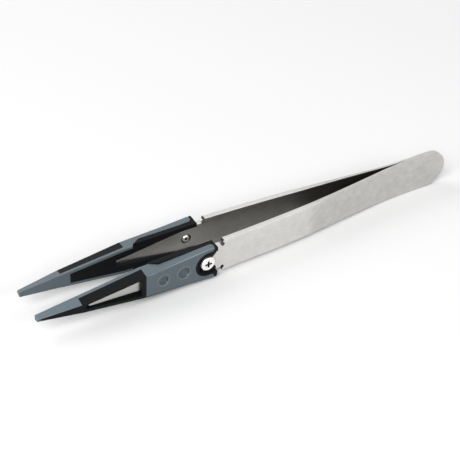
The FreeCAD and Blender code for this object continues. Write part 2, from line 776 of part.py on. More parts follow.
def stand(piece, x_term, y_term, turn_term):
    """Gives a piece its place: turned about Z and moved, at the middle height."""
    piece.Placement = Placement(Vector(), Rotation(Vector(0, 0, 1), number(turn_term)))
    for axis, term in (("x", x_term), ("y", y_term), ("z", "middle_height")):
        if term:
            piece.setExpression(".Placement.Base." + axis, cell(term))
    piece.setExpression(".Placement.Rotation.Angle", cell(turn_term))


def mirror(doc, piece):
    """Makes the right arm's piece as the mirror image of the left arm's."""
    name = piece.Label.replace("left_", "right_")
    image = doc.addObject("Part::Mirroring", name)
    image.Source = piece
    image.Base = Vector(0, 0, 0)
    image.Normal = Vector(0, 1, 0)
    return image


def check(doc, pieces):
    """Stops where an object has failed or a piece is not one valid solid."""
    for item in doc.Objects:
        if "Invalid" in item.State or "Error" in item.State:
            raise RuntimeError("%s failed: %s" % (item.Name, item.State))
    for piece in pieces:
        shape = piece.Shape
        if shape.isNull() or not shape.isValid() or len(shape.Solids) != 1:
            raise RuntimeError("%s is not one valid solid" % piece.Label)


def main():
    """Builds both arms and writes one file for each piece."""
    doc = FreeCAD.newDocument("tweezers")
    make_sheet(doc)
    blade = make_blade(doc)
    stand(blade, "tail_x", "", "half_turn")
    core, shell = make_tip(doc)
    for piece in (core, shell):
        stand(piece, "shoulder_x", "shoulder_left", "tongue_turn")
    screw = make_screw(doc)
    stand(screw, "screw_x", "screw_left", "tongue_turn")
    left = [blade, core, shell, screw]
    pieces = left + [mirror(doc, piece) for piece in left]
    doc.recompute()
    check(doc, pieces)
    os.makedirs("parts", exist_ok=True)
    for piece in pieces:
        piece.Shape.exportStep("parts/%s.step" % piece.Label)
        box = piece.Shape.BoundBox
        corners = (box.XMin, box.XMax, box.YMin, box.YMax, box.ZMin, box.ZMax)
        print(piece.Label, [round(v, 2) for v in corners])


SMALLEST_CUT = 0.001
FULL_TURN = 360.0
PLACES = all_sizes()
main()
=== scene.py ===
"""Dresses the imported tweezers: satin spring-steel blades, two-colour moulded tips and cross-head screws.

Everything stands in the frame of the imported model, in metres. The tips point to -X, the welded tail to +X,
the left arm is at -Y and the right arm at +Y. Sizes that belong to the object are written in millimetres.
"""
import logging
import math
from dataclasses import dataclass
from enum import Enum
from typing import Iterable, Sequence

import bmesh
import bpy
from mathutils import Matrix, Vector
from mathutils.bvhtree import BVHTree
from mathutils.geometry import intersect_point_line
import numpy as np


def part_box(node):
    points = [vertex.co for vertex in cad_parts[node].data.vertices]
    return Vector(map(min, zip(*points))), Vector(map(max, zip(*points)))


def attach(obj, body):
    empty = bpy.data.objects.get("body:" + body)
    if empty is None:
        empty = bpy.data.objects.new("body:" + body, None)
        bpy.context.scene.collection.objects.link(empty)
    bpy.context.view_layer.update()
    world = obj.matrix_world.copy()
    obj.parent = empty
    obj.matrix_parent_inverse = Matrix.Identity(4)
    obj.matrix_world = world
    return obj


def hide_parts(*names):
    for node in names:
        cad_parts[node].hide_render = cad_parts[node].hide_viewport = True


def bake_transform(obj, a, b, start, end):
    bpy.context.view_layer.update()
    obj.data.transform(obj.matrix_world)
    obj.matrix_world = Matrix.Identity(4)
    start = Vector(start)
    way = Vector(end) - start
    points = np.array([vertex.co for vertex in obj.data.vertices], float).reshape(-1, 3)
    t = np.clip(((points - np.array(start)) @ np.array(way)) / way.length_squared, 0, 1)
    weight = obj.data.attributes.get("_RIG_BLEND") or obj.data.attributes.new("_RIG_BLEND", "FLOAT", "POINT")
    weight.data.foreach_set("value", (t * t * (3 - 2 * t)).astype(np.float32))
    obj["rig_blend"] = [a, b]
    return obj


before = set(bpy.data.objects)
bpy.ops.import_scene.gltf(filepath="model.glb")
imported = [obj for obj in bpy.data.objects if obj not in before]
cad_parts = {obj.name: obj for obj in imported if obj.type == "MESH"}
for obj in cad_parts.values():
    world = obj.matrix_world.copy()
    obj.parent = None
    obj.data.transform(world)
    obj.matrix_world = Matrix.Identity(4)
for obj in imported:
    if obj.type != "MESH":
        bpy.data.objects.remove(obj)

LOG = logging.getLogger("tweezers")
MM = 0.001
# a face counts as facing a direction when the cosine of the angle between them is above this
FACING = 0.9
# the sockets of a Mix node that mixes colours: its share, its two colours and its result
SHARE, FIRST, SECOND, MIXED = 0, 6, 7, 2
WHITE = "ffffff"


class Side(Enum):
    """The two arms. The value is the sign of Y on which the arm lies."""

    LEFT = -1
    RIGHT = 1

    @property
    def word(self) -> str:
        """Gives the word that the arm's node names start with."""
        return self.name.lower()

    @property
    def tip_body(self) -> str:
        """Names the body that the arm's tip rides on."""
        return self.word + "_tip"


def linear(hex_colour: str) -> tuple[float, float, float, float]:
    """Turns an sRGB hex colour into linear light.

    Args:
        hex_colour: six hex digits, such as "66727d".

    Returns:
        Red, green, blue and alpha for a colour socket.
    """
    channels = [int(hex_colour[i:i + 2], 16) / 255 for i in (0, 2, 4)]
    light = [c / 12.92 if c <= 0.04045 else ((c + 0.055) / 1.055) ** 2.4 for c in channels]
    return (light[0], light[1], light[2], 1.0)


def add_node(tree: bpy.types.NodeTree, kind: str, settings: dict | None = None,
             inputs: dict | None = None) -> bpy.types.Node:
    """Adds a node with its settings and its links.

    Args:
        tree: the node tree that gets the node.
        kind: the node's type name.
        settings: attribute names and their values.
        inputs: input names or numbers, each with a socket to link or a value to set.

    Returns:
        The new node.
    """
    node = tree.nodes.new(kind)
    for name, value in (settings or {}).items():
        setattr(node, name, value)
    for name, value in (inputs or {}).items():
        if isinstance(value, bpy.types.NodeSocket):
            tree.links.new(value, node.inputs[name])
        else:
            node.inputs[name].default_value = value
    return node


def new_material(name: str) -> tuple[bpy.types.Material, bpy.types.NodeTree, bpy.types.Node]:
    """Makes an empty node material.

    Args:
        name: the name of the finish.

    Returns:
        The material, its tree and its output node.
    """
    material = bpy.data.materials.new(name)
    material.use_nodes = True
    tree = material.node_tree
    tree.nodes.clear()
    return material, tree, tree.nodes.new("ShaderNodeOutputMaterial")


@dataclass(frozen=True)
class SatinSteel:
    """Stainless spring steel, belt-ground lengthwise and then blasted: a satin sheen with faint long streaks.

    The stretch near the tail was ground thinner; it is painted a shade greyer, as painted shade for its
    dimmer reflection. The tongue is painted a tone of its own: darker outside, as painted shade of its slot
    in the tip, and lighter between the arms, as painted light. Real grinding lines and blasting grain are
    finer than the ones here, which are drawn as coarse as they need to be to show in a picture.
    """

    name: str = "satin_spring_steel"
    colour: str = "dddcda"
    streak_colour: str = "d2d1ce"
    ground_colour: str = "cdccc9"
    ground_streak_colour: str = "bdbcb9"
    ground_from_mm: float = 13.0
    ground_to_mm: float = 21.0
    tongue_colour: str = "bbbab7"
    tongue_from_mm: float = -14.0
    tongue_to_mm: float = -16.0
    roughness: float = 0.3
    streak_width_mm: float = 0.22
    streak_length_mm: float = 3.2
    cloud_mm: float = 2.4
    grain_mm: float = 0.14
    streak_detail: float = 3.0
    streak_harshness: float = 0.6
    grain_detail: float = 2.0
    darkest_at: float = 0.75
    lightest_at: float = 1.25
    duller_by: float = 0.05
    glossier_by: float = 0.03
    bump_mm: float = 0.004
    bump_strength: float = 0.5

    def build(self) -> bpy.types.Material:
        """Makes the material.

        Returns:
            The steel, with its shades placed along X.
        """
        material, tree, output = new_material(self.name)
        place = add_node(tree, "ShaderNodeTexCoord")
        lengthwise, crosswise = 1 / (self.streak_length_mm * MM), 1 / (self.streak_width_mm * MM)
        drawn_out = add_node(tree, "ShaderNodeMapping", inputs={
            "Vector": place.outputs["Object"], "Scale": (lengthwise, crosswise, crosswise)})
        streaks = add_node(tree, "ShaderNodeTexNoise", inputs={
            "Vector": drawn_out.outputs["Vector"], "Scale": 1.0, "Detail": self.streak_detail,
            "Roughness": self.streak_harshness})
        clouds = add_node(tree, "ShaderNodeTexNoise", inputs={
            "Vector": place.outputs["Object"], "Scale": 1 / (self.cloud_mm * MM),
            "Detail": self.streak_detail})
        grain = add_node(tree, "ShaderNodeTexNoise", inputs={
            "Vector": place.outputs["Object"], "Scale": 1 / (self.grain_mm * MM),
            "Detail": self.grain_detail})
        both = add_node(tree, "ShaderNodeMath", {"operation": "ADD"}, {
            0: streaks.outputs["Fac"], 1: clouds.outputs["Fac"]})
        share = add_node(tree, "ShaderNodeMapRange", inputs={
            "Value": both.outputs[0], "From Min": self.darkest_at, "From Max": self.lightest_at})
        fine = add_node(tree, "ShaderNodeMix", {"data_type": "RGBA"}, {
            SHARE: share.outputs["Result"], FIRST: linear(self.streak_colour), SECOND: linear(self.colour)})
        # painted shade: towards the tail the steel is painted greyer, for its dimmer reflection there
        coarse = add_node(tree, "ShaderNodeMix", {"data_type": "RGBA"}, {
            SHARE: share.outputs["Result"], FIRST: linear(self.ground_streak_colour),
            SECOND: linear(self.ground_colour)})
        length = add_node(tree, "ShaderNodeSeparateXYZ", inputs={"Vector": place.outputs["Object"]})
        ground = add_node(tree, "ShaderNodeMapRange", {"interpolation_type": "SMOOTHSTEP"}, {
            "Value": length.outputs["X"], "From Min": self.ground_from_mm * MM,
            "From Max": self.ground_to_mm * MM})
        # the tongue's own painted tone: painted shade outside, in its slot in the tip, and painted light
        # between the arms
        tongue = add_node(tree, "ShaderNodeMapRange", inputs={
            "Value": length.outputs["X"], "From Min": self.tongue_from_mm * MM,
            "From Max": self.tongue_to_mm * MM})
        blade = add_node(tree, "ShaderNodeMix", {"data_type": "RGBA"}, {
            SHARE: ground.outputs["Result"], FIRST: fine.outputs[MIXED], SECOND: coarse.outputs[MIXED]})
        tint = add_node(tree, "ShaderNodeMix", {"data_type": "RGBA"}, {
            SHARE: tongue.outputs["Result"], FIRST: blade.outputs[MIXED], SECOND: linear(self.tongue_colour)})
        sheen = add_node(tree, "ShaderNodeMapRange", inputs={
            "Value": both.outputs[0], "From Min": self.darkest_at, "From Max": self.lightest_at,
            "To Min": self.roughness + self.duller_by, "To Max": self.roughness - self.glossier_by})
        mixed = add_node(tree, "ShaderNodeMath", {"operation": "ADD"}, {
            0: streaks.outputs["Fac"], 1: grain.outputs["Fac"]})
        bump = add_node(tree, "ShaderNodeBump", inputs={
            "Height": mixed.outputs[0], "Distance": self.bump_mm * MM, "Strength": self.bump_strength})
        shader = add_node(tree, "ShaderNodeBsdfPrincipled", inputs={
            "Base Color": tint.outputs[MIXED], "Metallic": 1.0, "Roughness": sheen.outputs["Result"],
            "Normal": bump.outputs["Normal"]})
        tree.links.new(shader.outputs["BSDF"], output.inputs["Surface"])
        return material


@dataclass(frozen=True)
class MouldedPlastic:
    """Injection-moulded plastic with an eroded mould texture: matt, with a painted highlight on its rounded
    edges.

    The rounded edges that get the painted highlight are found by the direction of the surface, because every
    broad face of a tip points nearly along an axis. The mould's texture is finer on a real tip and is drawn
    as coarse as it needs to be to show in a picture.
    """

    name: str
    colour: str
    mottle: str
    rubbed_colour: str
    roughness: float
    gloss: float
    refraction: float = 1.5
    texture_mm: float = 0.16
    texture_detail: float = 2.0
    texture_harshness: float = 0.55
    texture_low: float = 0.3
    texture_high: float = 0.7
    gloss_spread: float = 0.05
    bump_mm: float = 0.006
    bump_strength: float = 0.6
    speck_mm: float = 0.45
    speck_detail: float = 3.0
    speck_low: float = 0.35
    speck_high: float = 0.65
    flat_from: float = 0.97
    rubbed_to: float = 0.84

    def build(self) -> bpy.types.Material:
        """Makes the material.

        Returns:
            The plastic, with the painted highlight on its rounded edges.
        """
        material, tree, output = new_material(self.name)
        place = add_node(tree, "ShaderNodeTexCoord")
        fine = add_node(tree, "ShaderNodeTexNoise", inputs={
            "Vector": place.outputs["Object"], "Scale": 1 / (self.texture_mm * MM),
            "Detail": self.texture_detail, "Roughness": self.texture_harshness})
        coarse = add_node(tree, "ShaderNodeTexNoise", inputs={
            "Vector": place.outputs["Object"], "Scale": 1 / (self.speck_mm * MM),
            "Detail": self.speck_detail})
        spread = add_node(tree, "ShaderNodeMapRange", inputs={
            "Value": coarse.outputs["Fac"], "From Min": self.speck_low, "From Max": self.speck_high})
        tint = add_node(tree, "ShaderNodeMix", {"data_type": "RGBA"}, {
            SHARE: spread.outputs["Result"], FIRST: linear(self.colour), SECOND: linear(self.mottle)})
        # painted highlight: the colour is lighter where the surface faces between the axes, that is on the
        # rounded edges
        facing = add_node(tree, "ShaderNodeVectorMath", {"operation": "ABSOLUTE"}, {
            0: place.outputs["Normal"]})
        parts = add_node(tree, "ShaderNodeSeparateXYZ", inputs={"Vector": facing.outputs["Vector"]})
        first = add_node(tree, "ShaderNodeMath", {"operation": "MAXIMUM"}, {
            0: parts.outputs["X"], 1: parts.outputs["Y"]})
        largest = add_node(tree, "ShaderNodeMath", {"operation": "MAXIMUM"}, {
            0: first.outputs[0], 1: parts.outputs["Z"]})
        edge = add_node(tree, "ShaderNodeMapRange", inputs={
            "Value": largest.outputs[0], "From Min": self.flat_from, "From Max": self.rubbed_to})
        rubbed = add_node(tree, "ShaderNodeMix", {"data_type": "RGBA"}, {
            SHARE: edge.outputs["Result"], FIRST: tint.outputs[MIXED], SECOND: linear(self.rubbed_colour)})
        sheen = add_node(tree, "ShaderNodeMapRange", inputs={
            "Value": fine.outputs["Fac"], "From Min": self.texture_low, "From Max": self.texture_high,
            "To Min": self.roughness - self.gloss_spread, "To Max": self.roughness + self.gloss_spread})
        bump = add_node(tree, "ShaderNodeBump", inputs={
            "Height": fine.outputs["Fac"], "Distance": self.bump_mm * MM, "Strength": self.bump_strength})
        shader = add_node(tree, "ShaderNodeBsdfPrincipled", inputs={
            "Base Color": rubbed.outputs[MIXED], "Metallic": 0.0, "Roughness": sheen.outputs["Result"],
            "IOR": self.refraction, "Specular IOR Level": self.gloss, "Normal": bump.outputs["Normal"]})
        tree.links.new(shader.outputs["BSDF"], output.inputs["Surface"])
        return material


@dataclass(frozen=True)
class PlainSteel:
    """Steel with one even finish: bright on the plated screws, and dark as painted shade in their recesses
    and on the blade's relief and hole walls.

    The grain is drawn as coarse as it needs to be to show in a picture.
    """

    name: str
    colour: str
    roughness: float
    grain_mm: float = 0.1
    grain_detail: float = 2.0
    bump_mm: float = 0.003
    bump_strength: float = 0.5

    def build(self) -> bpy.types.Material:
        """Makes the material.

        Returns:
            The steel.
        """
        material, tree, output = new_material(self.name)
        place = add_node(tree, "ShaderNodeTexCoord")
        grain = add_node(tree, "ShaderNodeTexNoise", inputs={
            "Vector": place.outputs["Object"], "Scale": 1 / (self.grain_mm * MM),
            "Detail": self.grain_detail})
        bump = add_node(tree, "ShaderNodeBump", inputs={
            "Height": grain.outputs["Fac"], "Distance": self.bump_mm * MM, "Strength": self.bump_strength})
        shader = add_node(tree, "ShaderNodeBsdfPrincipled", inputs={
            "Base Color": linear(self.colour), "Metallic": 1.0, "Roughness": self.roughness,
            "Normal": bump.outputs["Normal"]})
        tree.links.new(shader.outputs["BSDF"], output.inputs["Surface"])
        return material


def mesh_object(name: str, bm: bmesh.types.BMesh) -> bpy.types.Object:
    """Turns a bmesh into an object in the scene and frees the bmesh.

    Args:
        name: the name of the mesh and the object.
        bm: the bmesh, which can't be used any more.

    Returns:
        The object, at the origin.
    """
    mesh = bpy.data.meshes.new(name)
    bm.to_mesh(mesh)
    bm.free()
    piece = bpy.data.objects.new(name, mesh)
    bpy.context.scene.collection.objects.link(piece)
    return piece


def bake(piece: bpy.types.Object) -> None:
    """Turns a piece and its modifiers into a plain mesh and takes the modifiers away.

    Args:
        piece: the piece to change.
    """
    bpy.context.view_layer.update()
    evaluated = piece.evaluated_get(bpy.context.evaluated_depsgraph_get())
    mesh = bpy.data.meshes.new_from_object(evaluated)
    piece.modifiers.clear()
    old = piece.data
    piece.data = mesh
    mesh.name = piece.name
    bpy.data.meshes.remove(old)


def smooth(piece: bpy.types.Object, angle_deg: float) -> None:
    """Shades a piece smoothly across its gentle edges, with flat faces kept flat.

    Args:
        piece: the piece to shade.
        angle_deg: the turn, in degrees, from which an edge stays sharp.
    """
    piece.data.shade_smooth()
    piece.data.set_sharp_from_angle(angle=math.radians(angle_deg))
    weigh = piece.modifiers.new("weigh", "WEIGHTED_NORMAL")
    weigh.keep_sharp = True
    bake(piece)


def new_group(name: str, labels: Iterable[str]) -> tuple[bpy.types.NodeTree, bpy.types.Node]:
    """Makes a geometry group that takes a mesh and gives one, with a named input for each size.

    Args:
        name: the name of the group.
        labels: the names of the inputs for sizes.

    Returns:
        The group's tree and its input node.
    """
    tree = bpy.data.node_groups.new(name, "GeometryNodeTree")
    tree.interface.new_socket("Geometry", in_out="INPUT", socket_type="NodeSocketGeometry")
    for label in labels:
        tree.interface.new_socket(label, in_out="INPUT", socket_type="NodeSocketFloat")
    tree.interface.new_socket("Geometry", in_out="OUTPUT", socket_type="NodeSocketGeometry")
    return tree, add_node(tree, "NodeGroupInput")


def put_group(piece: bpy.types.Object, tree: bpy.types.NodeTree, sizes: dict[str, float]) -> None:
    """Puts a geometry group on a piece and sets the group's inputs.

    Args:
        piece: the piece that gets the group.
        tree: the group's tree.
        sizes: the names of the inputs and their values.
    """
    modifier = piece.modifiers.new(tree.name, "NODES")
    modifier.node_group = tree
    for item in tree.interface.items_tree:
        if item.in_out == "INPUT" and item.name in sizes:
            modifier[item.identifier] = sizes[item.name]


@dataclass
class Blade:
    """One blade: flat spring steel that is cut to its outline, thinned by grinding and bent at the weld.

    X runs from the tail end to the tongue, Y outwards from the middle plane and Z from the middle height.
    The sizes are in millimetres and the angles in degrees.
    """

    side: Side
    steel: bpy.types.Material
    inner_steel: bpy.types.Material
    cut_steel: bpy.types.Material
    weld_length: float = 12.5
    root_bend: float = 11.5
    shoulder: float = 77.2
    tongue_length: float = 39.2
    leaf_angle: float = 6.45
    tongue_angle: float = 1.6
    tail_thickness: float = 0.6
    thickness: float = 1.45
    grind_length: float = 26.0
    half_tail: float = 5.92
    tail_straight: float = 2.1
    width_taper: float = 39.0
    half_width: float = 4.96
    half_neck: float = 3.8
    neck_straight: float = 7.3
    neck_relief: float = 0.5
    tongue_taper: float = 16.5
    half_tongue: float = 1.5
    half_end: float = 0.4
    edge_round: float = 0.11
    edge_steps: int = 3
    tail_steps: int = 24
    relief_steps: int = 18
    end_steps: int = 6
    step: float = 0.8
    cut_touch: float = 0.01
    inner_from: float = 0.97
    screw_place: float = 5.15
    hole_radius: float = 1.03
    hole_corners: int = 48
    hole_overrun: float = 1.0
    sink_radius: float = 1.45
    shade_angle: float = 32.0
    flex_end: float = 34.0

    @property
    def node(self) -> str:
        """Names the CAD node that the blade stands for."""
        return self.side.word + "_blade"

    def upper_outline(self) -> list[tuple[float, float]]:
        """Gives the upper half of the side outline, with its round tail and the relief at the shoulder.

        Returns:
            The points from the tail end to the tongue's end, as X and Z.
        """
        points = []
        for i in range(self.tail_steps):
            turn = math.radians(90 * i / self.tail_steps)
            points.append((self.half_tail * (1 - math.cos(turn)), self.half_tail * math.sin(turn)))
        taper = self.half_tail + self.tail_straight
        points += [(self.half_tail, self.half_tail), (taper, self.half_tail),
                   (taper + self.width_taper, self.half_width), (self.shoulder, self.half_width)]
        for i in range(self.relief_steps + 1):
            turn = math.radians(90 + 270 * i / self.relief_steps)
            points.append((self.shoulder + self.neck_relief * math.cos(turn),
                           self.half_neck + self.neck_relief * math.sin(turn)))
        neck = self.shoulder + self.neck_straight
        end = self.shoulder + self.tongue_length * math.cos(math.radians(self.tongue_angle))
        points += [(neck, self.half_neck), (neck + self.tongue_taper, self.half_tongue)]
        for i in range(self.end_steps + 1):
            turn = math.radians(90 * i / self.end_steps)
            points.append((end - self.half_end * (1 - math.sin(turn)), self.half_end * math.cos(turn)))
        return points

    def blank(self) -> bmesh.types.BMesh:
        """Cuts the flat blank with rounded edges and divides it across, so that it can bend.

        Returns:
            The blank, in the blade's own frame.
        """
        upper = self.upper_outline()
        lower = [(x, -z) for x, z in reversed(upper[1:-1])]
        bm = bmesh.new()
        rim = [bm.verts.new((x, 0.0, z)) for x, z in upper + lower]
        face = bm.faces.new(rim)
        raised = bmesh.ops.extrude_face_region(bm, geom=[face])["geom"]
        moved = [item for item in raised if isinstance(item, bmesh.types.BMVert)]
        bmesh.ops.translate(bm, verts=moved, vec=(0.0, self.thickness, 0.0))
        bmesh.ops.recalc_face_normals(bm, faces=bm.faces[:])
        broad = [f for f in bm.faces if abs(f.normal.y) > FACING]
        rims = list({edge for f in broad for edge in f.edges})
        bmesh.ops.bevel(
            bm, geom=rims, offset=self.edge_round, segments=self.edge_steps, profile=0.5, affect="EDGES")
        end = self.shoulder + self.tongue_length
        for i in range(1, int(end / self.step)):
            geometry = bm.verts[:] + bm.edges[:] + bm.faces[:]
            bmesh.ops.bisect_plane(
                bm, geom=geometry, dist=self.cut_touch, plane_co=(i * self.step, 0, 0), plane_no=(1, 0, 0))
        return bm

    def bend_sizes(self) -> dict[str, float]:
        """Gives the sizes that the blade is ground and bent by, with the sines of its two angles."""
        return {
            "Weld length": self.weld_length,
            "Root bend": self.root_bend,
            "Shoulder": self.shoulder,
            "Leaf sine": math.sin(math.radians(self.leaf_angle)),
            "Tongue sine": math.sin(math.radians(self.tongue_angle)),
            "Tail thickness": self.tail_thickness,
            "Blade thickness": self.thickness,
            "Grind length": self.grind_length,
            "Relief": self.neck_relief,
        }

    def bend_tree(self) -> bpy.types.NodeTree:
        """Makes the group that thins and bends the blank by the rule of the ground and bent blade.

        It also paints the inner face greyer and the walls of the relief dark, as painted shade.

        Returns:
            The group's tree.
        """
        sizes = self.bend_sizes()
        tree, group = new_group("bend_blade", sizes)
        place = add_node(tree, "ShaderNodeSeparateXYZ", inputs={
            "Vector": add_node(tree, "GeometryNodeInputPosition").outputs[0]})
        known = {name: group.outputs[name] for name in sizes}
        known.update({"x": place.outputs["X"], "y": place.outputs["Y"], "zero": 0.0})
        rule = (
            ("root end", "ADD", "Weld length", "Root bend"),
            ("bow length", "SUBTRACT", "Shoulder", "root end"),
            ("sine fall", "SUBTRACT", "Leaf sine", "Tongue sine"),
            ("root radius", "DIVIDE", "Root bend", "Leaf sine"),
            ("bow radius", "DIVIDE", "bow length", "sine fall"),
            ("bow centre", "MULTIPLY", "bow radius", "Leaf sine"),
            ("root square", "MULTIPLY", "root radius", "root radius"),
            ("bow square", "MULTIPLY", "bow radius", "bow radius"),
            ("bow centre square", "MULTIPLY", "bow centre", "bow centre"),
            ("bow start square", "SUBTRACT", "bow square", "bow centre square"),
            ("bow start", "SQRT", "bow start square", "zero"),
            # the bend away from the weld
            ("past weld", "SUBTRACT", "x", "Weld length"),
            ("past weld floor", "MAXIMUM", "past weld", "zero"),
            ("root run", "MINIMUM", "past weld floor", "Root bend"),
            ("root run square", "MULTIPLY", "root run", "root run"),
            ("root fall square", "SUBTRACT", "root square", "root run square"),
            ("root fall", "SQRT", "root fall square", "zero"),
            ("root rise", "SUBTRACT", "root radius", "root fall"),
            # the long bow back to the tongue
            ("past root", "SUBTRACT", "x", "root end"),
            ("past root floor", "MAXIMUM", "past root", "zero"),
            ("bow run", "MINIMUM", "past root floor", "bow length"),
            ("bow left", "SUBTRACT", "bow centre", "bow run"),
            ("bow left square", "MULTIPLY", "bow left", "bow left"),
            ("bow fall square", "SUBTRACT", "bow square", "bow left square"),
            ("bow fall", "SQRT", "bow fall square", "zero"),
            ("bow rise", "SUBTRACT", "bow fall", "bow start"),
            # the straight tongue
            ("past shoulder", "SUBTRACT", "x", "Shoulder"),
            ("tongue run", "MAXIMUM", "past shoulder", "zero"),
            ("tongue rise", "MULTIPLY", "tongue run", "Tongue sine"),
            # the ground thinning towards the tail, with a flat outer face
            ("ground run", "MINIMUM", "past root floor", "Grind length"),
            ("ground share", "DIVIDE", "ground run", "Grind length"),
            ("thickness gain", "SUBTRACT", "Blade thickness", "Tail thickness"),
            ("gain here", "MULTIPLY", "thickness gain", "ground share"),
            ("thickness here", "ADD", "Tail thickness", "gain here"),
            ("ground left", "SUBTRACT", "bow centre", "ground run"),
            ("ground left square", "MULTIPLY", "ground left", "ground left"),
            ("ground fall square", "SUBTRACT", "bow square", "ground left square"),
            ("ground fall", "SQRT", "ground fall square", "zero"),
            ("ground rise", "SUBTRACT", "ground fall", "bow start"),
            ("end left", "SUBTRACT", "bow centre", "Grind length"),
            ("end left square", "MULTIPLY", "end left", "end left"),
            ("end fall square", "SUBTRACT", "bow square", "end left square"),
            ("end fall", "SQRT", "end fall square", "zero"),
            ("end rise", "SUBTRACT", "end fall", "bow start"),
            ("chord rise", "MULTIPLY", "end rise", "ground share"),
            ("flattening", "SUBTRACT", "chord rise", "ground rise"),
            ("outer height", "ADD", "thickness here", "flattening"),
            ("depth share", "DIVIDE", "y", "Blade thickness"),
            ("layer", "MULTIPLY", "depth share", "outer height"),
            # all together
            ("root and bow", "ADD", "root rise", "bow rise"),
            ("inner face", "ADD", "root and bow", "tongue rise"),
            ("new y", "ADD", "inner face", "layer"),
        )
        for name, operation, first, second in rule:
            step = add_node(tree, "ShaderNodeMath", {"operation": operation, "label": name}, {
                0: known[first], 1: known[second]})
            known[name] = step.outputs[0]
        new_place = add_node(tree, "ShaderNodeCombineXYZ", inputs={
            "X": place.outputs["X"], "Y": known["new y"], "Z": place.outputs["Z"]})
        bent = add_node(tree, "GeometryNodeSetPosition", inputs={
            "Geometry": group.outputs["Geometry"], "Position": new_place.outputs["Vector"]})
        real = add_node(tree, "GeometryNodeRealizeInstances", inputs={"Geometry": bent.outputs["Geometry"]})
        dressed = add_node(tree, "GeometryNodeSetMaterial", inputs={
            "Geometry": real.outputs["Geometry"], "Material": self.steel})
        facing = add_node(tree, "ShaderNodeSeparateXYZ", inputs={
            "Vector": add_node(tree, "GeometryNodeInputNormal").outputs["Normal"]})
        # painted shade: the inner face gets the greyer steel
        inwards = add_node(tree, "ShaderNodeMath", {"operation": "LESS_THAN"}, {
            0: facing.outputs["Y"], 1: -self.inner_from})
        lined = add_node(tree, "GeometryNodeSetMaterial", inputs={
            "Geometry": dressed.outputs["Geometry"], "Selection": inwards.outputs[0],
            "Material": self.inner_steel})
        # painted shade: the walls round the relief at the shoulder get the dark steel
        steep = add_node(tree, "ShaderNodeMath", {"operation": "ABSOLUTE"}, {0: facing.outputs["Y"]})
        wall = add_node(tree, "ShaderNodeMath", {"operation": "LESS_THAN"}, {0: steep.outputs[0], 1: FACING})
        offset = add_node(tree, "ShaderNodeMath", {"operation": "ABSOLUTE"}, {0: known["past shoulder"]})
        near = add_node(tree, "ShaderNodeMath", {"operation": "LESS_THAN"}, {
            0: offset.outputs[0], 1: group.outputs["Relief"]})
        cut_wall = add_node(tree, "ShaderNodeMath", {"operation": "MULTIPLY"}, {
            0: wall.outputs[0], 1: near.outputs[0]})
        cut = add_node(tree, "GeometryNodeSetMaterial", inputs={
            "Geometry": lined.outputs["Geometry"], "Selection": cut_wall.outputs[0],
            "Material": self.cut_steel})
        add_node(tree, "NodeGroupOutput", inputs={"Geometry": cut.outputs["Geometry"]})
        return tree

    def screw_hole(self) -> bpy.types.Object:
        """Makes the solid that the hole takes away: a bore with a sink at the tongue's inner face.

        Returns:
            The solid, in the dark steel of painted shade, which the hole's wall takes over.
        """
        bm = bmesh.new()
        depth = self.sink_radius - self.hole_radius
        profile = ((self.sink_radius + self.hole_overrun, -self.hole_overrun), (self.sink_radius, 0.0),
                   (self.hole_radius, depth), (self.hole_radius, self.thickness + self.hole_overrun))
        rings = []
        for radius, height in profile:
            ring = []
            for i in range(self.hole_corners):
                turn = math.tau * i / self.hole_corners
                ring.append(bm.verts.new((radius * math.cos(turn), height, radius * math.sin(turn))))
            rings.append(ring)
        for lower, upper in zip(rings, rings[1:]):
            for i in range(self.hole_corners):
                j = (i + 1) % self.hole_corners
                bm.faces.new((lower[i], lower[j], upper[j], upper[i]))
        bm.faces.new(rings[0])
        bm.faces.new(list(reversed(rings[-1])))
        bmesh.ops.recalc_face_normals(bm, faces=bm.faces[:])
        bmesh.ops.transform(bm, matrix=self.screw_seat(), verts=bm.verts[:])
        hole = mesh_object(self.node + "_hole", bm)
        hole.data.materials.append(self.cut_steel)
        return hole

    def on_tongue(self, distance: float) -> Vector:
        """Gives a place on the tongue's inner face.

        Args:
            distance: how far it is in front of the shoulder, in millimetres.

        Returns:
            The place, in the blade's own frame.
        """
        leaf, tongue = math.radians(self.leaf_angle), math.radians(self.tongue_angle)
        root = self.root_bend / math.sin(leaf) * (1 - math.cos(leaf))
        bow_radius = (self.shoulder - self.weld_length - self.root_bend) / (math.sin(leaf) - math.sin(tongue))
        height = root + bow_radius * (math.cos(tongue) - math.cos(leaf))
        return Vector((
            self.shoulder + distance * math.cos(tongue), height + distance * math.sin(tongue), 0.0))

    def screw_seat(self) -> Matrix:
        """Gives the move from the screw's own frame to its place in the blade's."""
        turn = Matrix.Rotation(math.radians(self.tongue_angle), 4, "Z")
        return Matrix.Translation(self.on_tongue(self.screw_place)) @ turn

    def to_frame(self) -> Matrix:
        """Gives the move from the blade's own frame, in millimetres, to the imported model's.

        Returns:
            The move, which also mirrors the left blade.
        """
        low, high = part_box(self.node)
        scale = Matrix.Diagonal((-MM, self.side.value * MM, MM, 1.0))
        return Matrix.Translation((high[0], 0.0, (low[2] + high[2]) / 2)) @ scale

